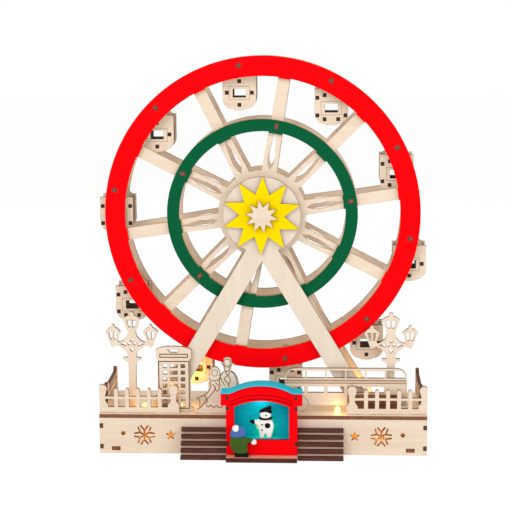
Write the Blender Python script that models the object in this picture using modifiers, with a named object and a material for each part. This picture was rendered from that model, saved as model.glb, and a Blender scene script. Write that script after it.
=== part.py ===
"""Light-up ferris wheel decoration, cut from plywood sheet, with lights in its base.

Metres, +Z up. The front faces -Y and X runs to the right as seen from the front.
The origin lies under the middle of the whole object, on the surface that it stands on.
"""
import math

import bmesh
import bpy
from mathutils import Matrix

# Sheets, joints and clearances
PLY = 0.0030
STEP_PLY = 0.0032
GAP = 0.0003
LAP = 0.0005
WELD = 0.000001
TENON_WIDTH = 0.0070

# Base box
BASE_WIDTH = 0.2900
BASE_DEPTH = 0.0780
BASE_HEIGHT = 0.0358
CORNER_TAB_HEIGHT = 0.0035
CORNER_TAB_LOW = 0.0062
CORNER_TAB_HIGH = 0.0252
BOTTOM_RECESS = 0.0029
BOTTOM_TAB_FROM_END = 0.0145
KIOSK_REACH = 0.0244

# Cut-outs in the front panel
CUTOUT_Z = 0.0170
FLAKE_FROM_END = 0.0401
FLAKE_STROKE = 0.0014
FLAKE_FORK = 0.0043
FLAKE_BRANCH = 0.0055
FLAKE_BRANCH_TURN = math.radians(38)
PANEL_STAR_FROM_END = 0.0635
PANEL_STAR_RADIUS = 0.0048
PANEL_STAR_VALLEY = 0.0020
PANEL_DOT_FROM_END = 0.0212
PANEL_DOT_RADIUS = 0.0020
PANEL_DOT_RISE = 0.0014

# Rows of standing plates, each the depth of its front face behind the front panel's face
FENCE_ROW = 0.0042
STREET_ROW = 0.0113
FRAME_ROW = 0.0154
RIM_ROW = 0.0204
CABIN_ROW = 0.0287

# Fences
FENCE_LENGTH = 0.0709
PICKET_WIDTH = 0.0036
PICKET_HEIGHT = 0.0224
RAIL_LOW_TOP = 0.0051
RAIL_HIGH_BOTTOM = 0.0125
RAIL_HIGH_TOP = 0.0148
PICKET_PITCH = 0.0097
SIDE_PICKET_PITCH = 0.0077
POST_HEIGHT = 0.0257
POST_NECK_WIDTH = 0.0052
POST_HEAD_WIDTH = 0.0084
POST_BASE_WIDTH = 0.0100
POST_BASE_TOP = 0.0074
POST_NECK_FROM = 0.0104
POST_NECK_TO = 0.0160
OUTER_POST_FROM_END = 0.0026
SIDE_FENCE_INSET = 0.0038

# Street lamps
LAMP_LEFT_FROM_END = 0.0285
LAMP_RIGHT_FROM_END = 0.0317
LAMP_HEIGHT = 0.0890
LAMP_REACH = 0.0234

# Telephone box
PHONE_FROM_END = 0.0660
PHONE_HEIGHT = 0.0592
PHONE_HALF_WIDTH = 0.0172
PANE_HEIGHT = 0.0034
PANE_PITCH = 0.0060
PANE_TOP = 0.0428
PANE_ROWS = 7
PANE_NARROW = 0.0038
PANE_WIDE = 0.0068
PANE_SIDE_X = 0.0080

# Double-deck bus
BUS_FROM_END = 0.0175
BUS_LENGTH = 0.1080
BUS_HEIGHT = 0.0398
BUS_SILL = 0.0052
BUS_CORNER = 0.0090
BUS_WHEEL_RADIUS = 0.0064
BUS_WHEEL_X = 0.0410
BUS_WHEEL_TENON = 0.0050
BUS_WINDOW_GAP = 0.0014
BUS_UPPER_FROM = 0.0309
BUS_UPPER_TO = 0.0378
BUS_LOWER_FROM = 0.0175
BUS_LOWER_TO = 0.0233
BUS_LOWER_GAP = 0.0032
BUS_EDGE = 0.0018
BUS_WINDOWS = 6

# Walking couple
COUPLE_FROM_PHONE = 0.0032
COUPLE_HEIGHT = 0.0510
COUPLE_WIDTH = 0.0400

# Kiosk
KIOSK_WIDTH = 0.0622
KIOSK_FLOOR_THICKNESS = 0.0040
KIOSK_FRONT_REACH = 0.0157
KIOSK_WING_WIDTH = 0.0712
KIOSK_WING_Z = 0.0505
KIOSK_EAVE_Z = 0.0648
KIOSK_RIDGE_Z = 0.0722
KIOSK_ARCH_SHARE = 0.79
KIOSK_ROOF_OVERHANG = 0.0016
KIOSK_WINDOW_WIDTH = 0.0466
KIOSK_WINDOW_FROM = 0.0186
KIOSK_WINDOW_TO = 0.0478
KIOSK_WINDOW_RISE = 0.0055
KIOSK_WALL_TAB = 0.0036
KIOSK_WALL_TABS_Z = (0.0142, 0.0462, 0.0566)
KIOSK_COUNTER_Z = 0.0150

# Figures
SNOWMAN_HEIGHT = 0.0292
SNOWMAN_WIDTH = 0.0212
SNOWMAN_X = 0.0032
SNOWMAN_FROM_COUNTER_FRONT = 0.0012
CHILD_HEIGHT = 0.0282
CHILD_WIDTH = 0.0234
CHILD_FROM_KIOSK_END = 0.0038
CHILD_FROM_FLOOR_EDGE = 0.0022

# Steps beside the kiosk
STEP_COUNT = 5
STEP_RISE = 0.0054
STEP_TREAD = 0.0033
STEP_UNDERCUT = 0.0016
STEP_REACH = 0.0180
STEP_WIDTH = 0.0402

# Wheel
AXLE_Z = 0.2120
WHEEL_PHASE = math.radians(8.6)
SPOKES = 10
RIM_OUTER = 0.1378
RIM_INNER = 0.1211
PLATE_OUTER = 0.1365
PLATE_INNER = 0.1222
RING_OUTER = 0.0830
RING_INNER = 0.0733
RING_PAD = 0.0019
RIM_PAD = 0.0009
HUB_RADIUS = 0.0387
SPOKE_WIDTH = 0.0104
SPOKE_RING_WIDTH = 0.0120
SPOKE_HUB_WIDTH = 0.0132
LANCET_OUTER = 0.0716
LANCET_WIDEST = 0.0500
LANCET_INNER = 0.0398
LANCET_WIDTH = 0.0060
WHEEL_INSIDE = 0.0285
BAR_CIRCLE = 0.1310
BAR_RADIAL = 0.0042
CROSS_BAR_RADIAL = 0.0050
ARC_SAG = 0.0004

# Axle and its trims
AXLE_RADIUS = 0.0040
COLLAR_RADIUS = 0.0085
AXLE_END = 0.0016
SUN_RADIUS = 0.0333
SUN_VALLEY = 0.0181
STAR_RADIUS = 0.0143
STAR_VALLEY = 0.0079
STAR_POINTS = 10

# Cabins
CABIN_WIDTH = 0.0293
CABIN_DROP = 0.0392
CABIN_ROOF = 0.0073
CABIN_DEPTH = 0.0244
CABIN_CORNER = 0.0092
CABIN_BELLY = 0.0012
CABIN_WALL_INSET = 0.0013
CABIN_WALL = 0.0022
CABIN_WINDOW_WIDTH = 0.0118
CABIN_WINDOW_HEIGHT = 0.0087
CABIN_WINDOW_Z = -0.0206
HANGER_HALF_WIDTH = 0.0120
HANGER_HEAD = 0.0052
HANGER_HOLE = 0.0030

# A-frames that carry the axle
HEAD_RADIUS = 0.0338
LEG_WIDTH = 0.0182
FOOT_FROM_END = 0.0531
CROTCH_DROP = 0.0434
FOOT_TENON = 0.0120

# Lights and their supply
LED_RADIUS = 0.0024
LED_HEIGHT = 0.0095
LED_LEFT_FROM_END = 0.0390
LED_LEFT_DEPTH = 0.0141
LED_PHONE_FROM_END = 0.0698
LED_PHONE_DEPTH = 0.0212
LED_RIGHT_FROM_END = 0.0786
LED_RIGHT_DEPTH = 0.0066
LED_REAR_FROM_END = 0.0610
LED_REAR_DEPTH = 0.0520
KIOSK_LED_X = -0.0040
KIOSK_LED_Z = 0.0262
PANEL_LED_DEPTH = 0.0140
LEAD_RADIUS = 0.0006
BATTERY_BOX_WALL = 0.0015
BATTERY_BOX_FOOT = 0.0010
BATTERY_BOX_DEPTH_AT = 0.0390
CELL_RADIUS = 0.0070
CELL_LENGTH = 0.0505
CELL_NUB_RADIUS = 0.0026
CELL_NUB = 0.0012
CELL_SIDE_ROOM = 0.0030
CELL_TOP_ROOM = 0.0007
SWITCH_FROM_LID = 0.0028
SWITCH_LENGTH = 0.0040
SWITCH_WIDTH = 0.0030
SWITCH_DEPTH = 0.0045
SWITCH_TRAVEL = 0.0040

# Outlines as shares of their plate's half width, or width, and height
LAMP_HALF_SHARES = [
    (0.145, 0.0), (0.145, 0.478), (0.22, 0.498), (0.34, 0.514), (0.34, 0.536), (0.17, 0.536),
    (0.17, 0.575), (0.25, 0.608), (0.41, 0.643), (0.56, 0.660), (0.66, 0.654), (0.725, 0.635),
    (0.79, 0.654), (0.87, 0.711), (1.0, 0.800), (0.90, 0.83), (0.79, 0.846), (0.763, 0.873),
    (0.677, 0.873), (0.65, 0.846), (0.54, 0.83), (0.43, 0.800), (0.55, 0.712), (0.50, 0.690),
    (0.33, 0.712), (0.19, 0.752), (0.145, 0.800), (0.20, 0.835), (0.325, 0.93), (0.23, 0.952),
    (0.09, 0.969), (0.075, 1.0)]
LAMP_PANE_SHARES = [
    [(0.03, 0.846), (0.12, 0.846), (0.19, 0.92), (0.03, 0.92)],
    [(0.62, 0.722), (0.69, 0.722), (0.69, 0.80), (0.55, 0.80)],
    [(0.75, 0.722), (0.82, 0.722), (0.89, 0.80), (0.75, 0.80)],
    [(0.22, 0.650), (0.46, 0.675), (0.22, 0.692)]]
LAMP_DIAMOND_SHARES = [(0.0, 0.588), (0.085, 0.618), (0.0, 0.648), (-0.085, 0.618)]
LAMP_ROUND_SHARES = [(0.0, 0.714), (0.11, 0.677), (-0.11, 0.677)]
LAMP_ROUND_RADIUS = 0.0015
PHONE_HALF_SHARES = [
    (1.0, 0.0), (1.0, 0.04), (0.86, 0.065), (0.83, 0.80), (0.92, 0.83), (0.92, 0.945),
    (0.72, 0.975), (0.38, 0.994), (0.0, 1.0)]
PHONE_VENT_SHARES = [(-0.34, 0.952), (-0.18, 0.902), (0.18, 0.902), (0.34, 0.952), (0.14, 0.940),
                     (0.0, 0.965), (-0.14, 0.940)]
COUPLE_SHARES = [
    (0.50, 0.06), (0.49, 0.28), (0.465, 0.47), (0.425, 0.61), (0.35, 0.72), (0.265, 0.757),
    (0.285, 0.80), (0.295, 0.862), (0.335, 0.872), (0.34, 0.895), (0.29, 0.906), (0.275, 0.98),
    (0.24, 1.0), (0.16, 1.0), (0.12, 0.98), (0.105, 0.906), (0.055, 0.898), (0.055, 0.874),
    (0.095, 0.862), (0.115, 0.814), (0.125, 0.745), (0.075, 0.718), (0.02, 0.686), (0.03, 0.745),
    (-0.03, 0.823), (-0.125, 0.833), (-0.20, 0.755), (-0.215, 0.647), (-0.188, 0.588),
    (-0.24, 0.53), (-0.235, 0.41), (-0.26, 0.29), (-0.33, 0.17), (-0.41, 0.09), (-0.50, 0.06)]
SNOWMAN_SHARES = [
    (-0.226, 0.0), (-0.085, 0.0), (-0.052, 0.086), (-0.009, 0.140), (0.038, 0.079), (0.066, 0.0),
    (0.208, 0.0), (0.292, 0.195), (0.340, 0.353), (0.316, 0.469), (0.245, 0.568), (0.231, 0.620),
    (0.236, 0.723), (0.250, 0.767), (0.226, 1.0), (0.066, 0.955), (-0.075, 0.921), (-0.203, 0.866),
    (-0.241, 0.798), (-0.231, 0.702), (-0.236, 0.586), (-0.368, 0.551), (-0.566, 0.548),
    (-0.660, 0.517), (-0.557, 0.455), (-0.443, 0.442), (-0.340, 0.380), (-0.283, 0.264),
    (-0.250, 0.127)]
CHILD_SHARES = [
    (0.0, 0.0), (0.26, 0.0), (0.31, 0.04), (0.55, 0.0), (0.62, 0.05), (0.58, 0.13), (0.66, 0.23),
    (0.65, 0.45), (0.78, 0.46), (0.95, 0.41), (1.0, 0.48), (0.93, 0.57), (0.78, 0.60), (0.59, 0.65),
    (0.57, 0.76), (0.52, 0.90), (0.42, 0.985), (0.28, 1.0), (0.12, 0.95), (0.06, 0.90), (0.02, 0.78),
    (0.06, 0.65), (0.0, 0.52), (0.01, 0.34), (0.07, 0.22), (0.02, 0.12)]

# Places worked out from the sizes above
FRONT_Y = -(BASE_DEPTH - KIOSK_REACH) / 2
BACK_Y = FRONT_Y + BASE_DEPTH
DECK_TOP = BASE_HEIGHT
DECK_UNDER = BASE_HEIGHT - PLY
PANEL_HEIGHT = DECK_UNDER - GAP
FRAME_Y = FRONT_Y + FRAME_ROW
RIM_Y = FRONT_Y + RIM_ROW
WHEEL_FRONT_Y = RIM_Y + PLY + GAP
WHEEL_REAR_Y = WHEEL_FRONT_Y + PLY + WHEEL_INSIDE
CABIN_Y = FRONT_Y + CABIN_ROW + CABIN_DEPTH / 2
FRAME_REAR_Y = WHEEL_REAR_Y + PLY + (RIM_Y - FRAME_Y - PLY)
SUN_Y = FRAME_Y - GAP - PLY
STAR_Y = SUN_Y - GAP - PLY
KIOSK_FLOOR_Y = FRONT_Y - KIOSK_REACH
KIOSK_FRONT_Y = FRONT_Y - KIOSK_FRONT_REACH
KIOSK_BACK_Y = FRONT_Y - GAP - PLY
KIOSK_FOOT_Z = KIOSK_FLOOR_THICKNESS + GAP
BASE_HALF = BASE_WIDTH / 2
BOTTOM_TAB_X = BASE_HALF - BOTTOM_TAB_FROM_END
FLAKE_X = BASE_HALF - FLAKE_FROM_END
PHONE_X = PHONE_FROM_END - BASE_HALF
BUS_X = BASE_HALF - BUS_FROM_END - BUS_LENGTH / 2
COUPLE_X = PHONE_X + PHONE_HALF_WIDTH + COUPLE_FROM_PHONE + COUPLE_WIDTH / 2
CHILD_X = CHILD_FROM_KIOSK_END - KIOSK_WIDTH / 2
DECK_LEDS = {
    "left": (LED_LEFT_FROM_END - BASE_HALF, LED_LEFT_DEPTH),
    "phone": (LED_PHONE_FROM_END - BASE_HALF, LED_PHONE_DEPTH),
    "right": (BASE_HALF - LED_RIGHT_FROM_END, LED_RIGHT_DEPTH),
    "rear": (BASE_HALF - LED_REAR_FROM_END, LED_REAR_DEPTH)}
CELL_BAY = CELL_LENGTH + 2 * GAP
LID_CHANNEL = CELL_BAY + 2 * BATTERY_BOX_WALL
LID_CHANNEL_HEIGHT = BATTERY_BOX_WALL + GAP
BATTERY_BOX_LENGTH = LID_CHANNEL + SWITCH_FROM_LID + SWITCH_WIDTH + 2 * GAP + BATTERY_BOX_WALL
BATTERY_BOX_WIDTH = 4 * CELL_RADIUS + CELL_SIDE_ROOM + 2 * BATTERY_BOX_WALL
BATTERY_BOX_HEIGHT = LID_CHANNEL_HEIGHT + 2 * CELL_RADIUS + CELL_TOP_ROOM + BATTERY_BOX_WALL
SPOKE_PITCH = 2 * math.pi / SPOKES

deck_slots = []
deck_holes = []


def clear_scene():
    """Remove whatever the open scene holds."""
    for thing in list(bpy.data.objects):
        bpy.data.objects.remove(thing, do_unlink=True)


def make_collection(name):
    """Return a new collection linked to the scene."""
    group = bpy.data.collections.new(name)
    bpy.context.scene.collection.children.link(group)
    return group


def make_material(name, colour, roughness, metallic=0.0):
    """Return a Principled material of one plain colour."""
    material = bpy.data.materials.new(name)
    material.use_nodes = True
    shader = material.node_tree.nodes["Principled BSDF"]
    shader.inputs["Base Color"].default_value = (*colour, 1.0)
    shader.inputs["Roughness"].default_value = roughness
    shader.inputs["Metallic"].default_value = metallic
    return material


def add_object(name, mesh, material, parent=None):
    """Put a mesh in the model under a name and a material."""
    obj = bpy.data.objects.new(name, mesh)
    mesh.materials.clear()
    mesh.materials.append(material)
    model.objects.link(obj)
    obj.parent = parent
    return obj


def add_empty(name, location, parent=None):
    """Mark a joint's place with an empty."""
    empty = bpy.data.objects.new(name, None)
    empty.location = location
    empty.parent = parent
    model.objects.link(empty)
    return empty


def mesh_of(obj):
    """Return the evaluated mesh of an object with its loose seams welded, and drop the object."""
    bpy.context.view_layer.update()
    graph = bpy.context.evaluated_depsgraph_get()
    mesh = bpy.data.meshes.new_from_object(obj.evaluated_get(graph))
    work = bmesh.new()
    work.from_mesh(mesh)
    bmesh.ops.remove_doubles(work, verts=work.verts, dist=WELD)
    bmesh.ops.recalc_face_normals(work, faces=work.faces)
    work.to_mesh(mesh)
    work.free()
    bpy.data.objects.remove(obj, do_unlink=True)
    return mesh


def sheet_mesh(outline, holes=(), thickness=PLY):
    """Cut a flat outline with its holes from a sheet that lies about the local XY plane."""
    curve = bpy.data.curves.new("outline", "CURVE")
    curve.dimensions = "2D"
    curve.fill_mode = "BOTH"
    curve.extrude = thickness / 2
    for loop in [outline, *holes]:
        spline = curve.splines.new("POLY")
        spline.points.add(len(loop) - 1)
        for point, (x, y) in zip(spline.points, loop):
            point.co = (x, y, 0.0, 1.0)
        spline.use_cyclic_u = True
    obj = bpy.data.objects.new("outline", curve)
    cutters.objects.link(obj)
    return mesh_of(obj)


def stand(obj, x, front_y, z, thickness=PLY):
    """Stand a sheet upright, facing the front, with its front face at front_y."""
    obj.rotation_euler = (math.pi / 2, 0.0, 0.0)
    obj.location = (x, front_y + thickness / 2, z)


def turn_sideways(obj, x, y, z):
    """Stand a sheet upright across the depth: its local X runs to the back."""
    obj.matrix_local = Matrix.Translation((x, y, z)) @ Matrix(
        ((0, 0, 1, 0), (1, 0, 0, 0), (0, 1, 0, 0), (0, 0, 0, 1)))


def box_mesh(size, centre=(0.0, 0.0, 0.0)):
    """Return a box of a size about a centre."""
    work = bmesh.new()
    place = Matrix.Translation(centre) @ Matrix.Diagonal((*size, 1.0))
    bmesh.ops.create_cube(work, size=1.0, matrix=place)
    mesh = bpy.data.meshes.new("box")
    work.to_mesh(mesh)
    work.free()
    return mesh


def combined(base, others, operation):
    """Return the mesh that a Boolean of the base with each other mesh gives."""
    target = bpy.data.objects.new("target", base)
    cutters.objects.link(target)
    tools = []
    for mesh in others:
        tool = bpy.data.objects.new("tool", mesh)
        tool.hide_render = True
        tool.display_type = "WIRE"
        cutters.objects.link(tool)
        change = target.modifiers.new("change", "BOOLEAN")
        change.operation = operation
        change.object = tool
        tools.append(tool)
    result = mesh_of(target)
    for tool in tools:
        bpy.data.objects.remove(tool, do_unlink=True)
    return result


def moved(mesh, matrix):
    """Move a mesh's points and return it."""
    mesh.transform(matrix)
    return mesh


def turned(name, profile, sides, material, parent=None):
    """Turn a profile of (radius, height) points, listed from top to bottom, about local Z."""
    mesh = bpy.data.meshes.new(name)
    mesh.from_pydata([(r, 0.0, z) for r, z in profile], [(i, i + 1) for i in range(len(profile) - 1)], [])
    obj = add_object(name, mesh, material, parent)
    screw = obj.modifiers.new("turn", "SCREW")
    screw.steps = sides
    screw.render_steps = sides
    screw.use_merge_vertices = True
    screw.merge_threshold = WELD
    return obj


def circle(x, y, radius, sides):
    """Points round a circle."""
    return arc(x, y, radius, 0.0, 2 * math.pi, sides)[:-1]


def arc(x, y, radius, start, end, steps):
    """Points along an arc, both ends included."""
    angles = [start + (end - start) * i / steps for i in range(steps + 1)]
    return [(x + radius * math.cos(a), y + radius * math.sin(a)) for a in angles]


def arc_steps(radius, turn):
    """How many chords an arc needs to stay within the sag."""
    return max(2, math.ceil(turn / (2 * math.acos(1 - ARC_SAG / radius))))


def rectangle(x, y, width, height):
    """Corners of a rectangle about a centre."""
    return [(x - width / 2, y - height / 2), (x + width / 2, y - height / 2),
            (x + width / 2, y + height / 2), (x - width / 2, y + height / 2)]


def star(outer, valley, points, phase):
    """Points of a star, its first tip at the phase angle."""
    loop = []
    for i in range(2 * points):
        radius = valley if i % 2 else outer
        angle = phase + math.pi * i / points
        loop.append((radius * math.cos(angle), radius * math.sin(angle)))
    return loop


def rotated(loop, angle):
    """Turn a loop about the origin."""
    c, s = math.cos(angle), math.sin(angle)
    return [(x * c - y * s, x * s + y * c) for x, y in loop]


def shifted(loop, x, y):
    """Move a loop."""
    return [(px + x, py + y) for px, py in loop]


def mirrored(loop):
    """Mirror a loop across the vertical line through zero."""
    return [(-x, y) for x, y in reversed(loop)]


def scaled(shares, width, height):
    """Turn shares into sizes."""
    return [(x * width, y * height) for x, y in shares]


def bottom_edge(left, right, tenons, width=TENON_WIDTH):
    """The lower edge of a standing plate from left to right, with tenons for the deck."""
    loop = [(left, 0.0)]
    for x in tenons:
        loop += [(x - width / 2, 0.0), (x - width / 2, -PLY - GAP),
                 (x + width / 2, -PLY - GAP), (x + width / 2, 0.0)]
    return loop + [(right, 0.0)]


def slot_for(x, y_middle, width=TENON_WIDTH, across=False):
    """Note a deck slot for a tenon, with clearance all round."""
    long_side, short_side = width + 2 * GAP, PLY + 2 * GAP
    size = (short_side, long_side) if across else (long_side, short_side)
    deck_slots.append(rectangle(x, y_middle, *size))


def standing_plate(name, outline, holes, x, row, tenons, material, width=TENON_WIDTH):
    """A plate that stands on the deck with its tenons in slots."""
    obj = add_object(name, sheet_mesh(outline, holes), material)
    front_y = FRONT_Y + row
    stand(obj, x, front_y, DECK_TOP + GAP)
    for tenon in tenons:
        slot_for(x + tenon, front_y + PLY / 2, width)
    return obj


def snowflake():
    """A six-armed flake as one outline: each arm is a stem that forks into two branches."""
    half = FLAKE_STROKE / 2
    root = half / math.tan(math.pi / 6)
    turn = FLAKE_BRANCH_TURN
    along, aside = math.cos(turn), math.sin(turn)
    elbow = FLAKE_FORK - half * (1 - along) / aside
    crotch = FLAKE_FORK + half / aside
    tip_x, tip_y = FLAKE_FORK + FLAKE_BRANCH * along, FLAKE_BRANCH * aside
    side = [(elbow, half), (tip_x - half * aside, tip_y + half * along),
            (tip_x + half * aside, tip_y - half * along)]
    arm = [(root, -half)] + [(x, -y) for x, y in side] + [(crotch, 0.0)] + list(reversed(side))
    loop = []
    for i in range(6):
        loop += rotated(arm, math.radians(90 + 60 * i))
    return loop


def corner_notches(height):
    """The right-hand end of a front or back panel, cut for the side panel's two tabs."""
    edge, inner = BASE_WIDTH / 2, BASE_WIDTH / 2 - PLY - GAP
    reach = CORNER_TAB_HEIGHT / 2 + GAP
    loop = [(edge, 0.0)]
    for z in (CORNER_TAB_LOW, CORNER_TAB_HIGH):
        loop += [(edge, z - reach), (inner, z - reach), (inner, z + reach), (edge, z + reach)]
    return loop + [(edge, height)]


def build_base():
    """The box of the base: four walls and a recessed bottom board."""
    end = corner_notches(PANEL_HEIGHT)
    outline = end + mirrored(end)
    tab_z = BOTTOM_RECESS + PLY / 2
    tab_slots = [rectangle(side * BOTTOM_TAB_X, tab_z, TENON_WIDTH + 2 * GAP, PLY + 2 * GAP)
                 for side in (-1, 1)]
    shapes = []
    for side in (-1, 1):
        shapes.append(shifted(snowflake(), side * FLAKE_X, CUTOUT_Z))
        shapes.append(shifted(star(PANEL_STAR_RADIUS, PANEL_STAR_VALLEY, 5, math.pi / 2),
                              side * (BASE_HALF - PANEL_STAR_FROM_END), CUTOUT_Z))
        shapes.append(circle(side * (BASE_HALF - PANEL_DOT_FROM_END), CUTOUT_Z + PANEL_DOT_RISE,
                             PANEL_DOT_RADIUS, 8))
    shapes.append(circle(KIOSK_LED_X, KIOSK_LED_Z, LED_RADIUS + GAP, 8))
    front = add_object("front_panel", sheet_mesh(outline, tab_slots + shapes), birch)
    stand(front, 0.0, FRONT_Y, 0.0)
    back = add_object("back_panel", sheet_mesh(outline, tab_slots), birch)
    stand(back, 0.0, BACK_Y - PLY, 0.0)

    half = BASE_DEPTH / 2
    inside = half - PLY - GAP
    reach = CORNER_TAB_HEIGHT / 2
    end = [(inside, 0.0)]
    for z in (CORNER_TAB_LOW, CORNER_TAB_HIGH):
        end += [(inside, z - reach), (half, z - reach), (half, z + reach), (inside, z + reach)]
    end.append((inside, PANEL_HEIGHT))
    for name, side in (("left_panel", -1), ("right_panel", 1)):
        panel = add_object(name, sheet_mesh(end + mirrored(end)), birch)
        turn_sideways(panel, side * (BASE_WIDTH - PLY) / 2, FRONT_Y + half, 0.0)

    board_x = BASE_WIDTH / 2 - PLY - GAP
    quarter = [(BOTTOM_TAB_X - TENON_WIDTH / 2, inside), (BOTTOM_TAB_X - TENON_WIDTH / 2, half),
               (BOTTOM_TAB_X + TENON_WIDTH / 2, half), (BOTTOM_TAB_X + TENON_WIDTH / 2, inside),
               (board_x, inside)]
    right = [(x, -y) for x, y in quarter] + list(reversed(quarter))
    opening = rectangle(0.0, BATTERY_BOX_DEPTH_AT - half, BATTERY_BOX_LENGTH + 2 * GAP,
                        BATTERY_BOX_WIDTH + 2 * GAP)
    board = add_object("bottom_board", sheet_mesh(right + mirrored(right), [opening]), birch)
    board.location = (0.0, FRONT_Y + half, tab_z)


def build_deck():
    """The deck, with a slot for each tenon and a hole for each light that comes up through it."""
    half = BASE_DEPTH / 2
    middle = FRONT_Y + half
    holes = [shifted(loop, 0.0, -middle) for loop in deck_slots + deck_holes]
    deck = add_object("deck", sheet_mesh(rectangle(0.0, 0.0, BASE_WIDTH, BASE_DEPTH), holes), birch)
    deck.location = (0.0, middle, DECK_UNDER + PLY / 2)


def picket_top(x):
    """A picket above the upper rail, from its right edge over its round head to its left edge."""
    radius = PICKET_WIDTH / 2
    head = arc(x, PICKET_HEIGHT - radius, radius, 0.0, math.pi, 3)
    return [(x + radius, RAIL_HIGH_TOP)] + head + [(x - radius, RAIL_HIGH_TOP)]


def right_post(outer, x):
    """A post about x, from the plate's right end over its round head to the upper rail."""
    neck, head = POST_NECK_WIDTH / 2, POST_HEAD_WIDTH / 2
    loop = [(outer, 0.0), (outer, POST_BASE_TOP), (min(x + neck, outer), POST_NECK_FROM),
            (min(x + neck, outer), POST_NECK_TO)]
    top = arc(x, POST_HEIGHT - head, head, math.radians(-30), math.radians(210), 6)
    loop += [(min(px, outer), pz) for px, pz in top]
    return loop + [(x - neck, POST_NECK_TO), (x - neck, RAIL_HIGH_TOP)]


def fence_loops(length, pitch, left_x, right_x):
    """Outline and openings of a fence with two posts and as many pickets as fit between them."""
    neck, base, near = POST_NECK_WIDTH / 2, POST_BASE_WIDTH / 2, PICKET_WIDTH / 2
    pickets = int((right_x - left_x - POST_BASE_WIDTH) / pitch)
    middle = (left_x + right_x) / 2
    places = [middle + pitch * (i - (pickets - 1) / 2) for i in range(pickets)]
    loop = right_post(length / 2, right_x)
    for x in reversed(places):
        loop += picket_top(x)
    loop += mirrored(right_post(length / 2, -left_x))
    holes = []
    edges = [left_x] + places + [right_x]
    for left, right in zip(edges, edges[1:]):
        hole = [(left + near, RAIL_HIGH_BOTTOM), (left + near, RAIL_LOW_TOP)]
        if left == left_x:
            hole = [(left + neck, RAIL_HIGH_BOTTOM), (left + neck, POST_NECK_FROM),
                    (left + base, POST_BASE_TOP), (left + base, RAIL_LOW_TOP)]
        if right == right_x:
            hole += [(right - base, RAIL_LOW_TOP), (right - base, POST_BASE_TOP),
                     (right - neck, POST_NECK_FROM), (right - neck, RAIL_HIGH_BOTTOM)]
        else:
            hole += [(right - near, RAIL_LOW_TOP), (right - near, RAIL_HIGH_BOTTOM)]
        holes.append(hole)
    return loop, holes


def build_fences():
    """Two fences along the front of the deck and one along each side."""
    half = FENCE_LENGTH / 2
    tenon_x = FENCE_LENGTH / 4
    base = bottom_edge(-half, half, (-tenon_x, tenon_x))
    inner_x, outer_x = POST_BASE_WIDTH / 2 - half, half - OUTER_POST_FROM_END
    for name, side in (("front_fence_left", -1), ("front_fence_right", 1)):
        ends = sorted((side * inner_x, side * outer_x))
        upper, holes = fence_loops(FENCE_LENGTH, PICKET_PITCH, *ends)
        x = side * (BASE_WIDTH - FENCE_LENGTH) / 2
        standing_plate(name, base + upper[1:-1], holes, x, FENCE_ROW, (-tenon_x, tenon_x), birch)

    start = FRONT_Y + FENCE_ROW + PLY + GAP
    length = BACK_Y - FENCE_ROW - start
    end_x = length / 2 - POST_BASE_WIDTH / 2
    tenon_x = length / 4
    upper, holes = fence_loops(length, SIDE_PICKET_PITCH, -end_x, end_x)
    outline = bottom_edge(-length / 2, length / 2, (-tenon_x, tenon_x)) + upper[1:-1]
    for name, side in (("side_fence_left", -1), ("side_fence_right", 1)):
        fence = add_object(name, sheet_mesh(outline, holes), birch)
        x = side * (BASE_WIDTH / 2 - SIDE_FENCE_INSET - PLY / 2)
        middle = start + length / 2
        turn_sideways(fence, x, middle, DECK_TOP + GAP)
        for tenon in (-tenon_x, tenon_x):
            slot_for(x, middle + tenon, across=True)


def build_lamps():
    """Two three-armed street lamps, each cut whole from one sheet."""
    half = scaled(LAMP_HALF_SHARES, LAMP_REACH, LAMP_HEIGHT)
    foot = half[0][0]
    width = 2 * foot - 2 * GAP
    outline = bottom_edge(-foot, foot, (0.0,), width) + half[1:] + mirrored(half[1:])
    holes = []
    for shares in LAMP_PANE_SHARES:
        pane = scaled(shares, LAMP_REACH, LAMP_HEIGHT)
        holes += [pane, mirrored(pane)]
    holes.append(scaled(LAMP_DIAMOND_SHARES, LAMP_REACH, LAMP_HEIGHT))
    holes += [circle(x, z, LAMP_ROUND_RADIUS, 6)
              for x, z in scaled(LAMP_ROUND_SHARES, LAMP_REACH, LAMP_HEIGHT)]
    for name, x in (("lamp_post_left", LAMP_LEFT_FROM_END - BASE_HALF),
                    ("lamp_post_right", BASE_HALF - LAMP_RIGHT_FROM_END)):
        standing_plate(name, outline, holes, x, FRAME_ROW, (0.0,), birch, width)


def build_phone_box():
    """A telephone box with three columns of open panes."""
    half = scaled(PHONE_HALF_SHARES, PHONE_HALF_WIDTH, PHONE_HEIGHT)
    tenon = PHONE_HALF_WIDTH / 2
    outline = bottom_edge(-PHONE_HALF_WIDTH, PHONE_HALF_WIDTH, (-tenon, tenon))
    outline += half[1:] + mirrored(half[1:-1])
    holes = [scaled(PHONE_VENT_SHARES, PHONE_HALF_WIDTH, PHONE_HEIGHT)]
    for row in range(PANE_ROWS):
        z = PANE_TOP - PANE_HEIGHT / 2 - row * PANE_PITCH
        for x, width in ((-PANE_SIDE_X, PANE_NARROW), (0.0, PANE_WIDE), (PANE_SIDE_X, PANE_NARROW)):
            holes.append(rectangle(x, z, width, PANE_HEIGHT))
    standing_plate("phone_box", outline, holes, PHONE_X, STREET_ROW, (-tenon, tenon), birch)


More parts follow.
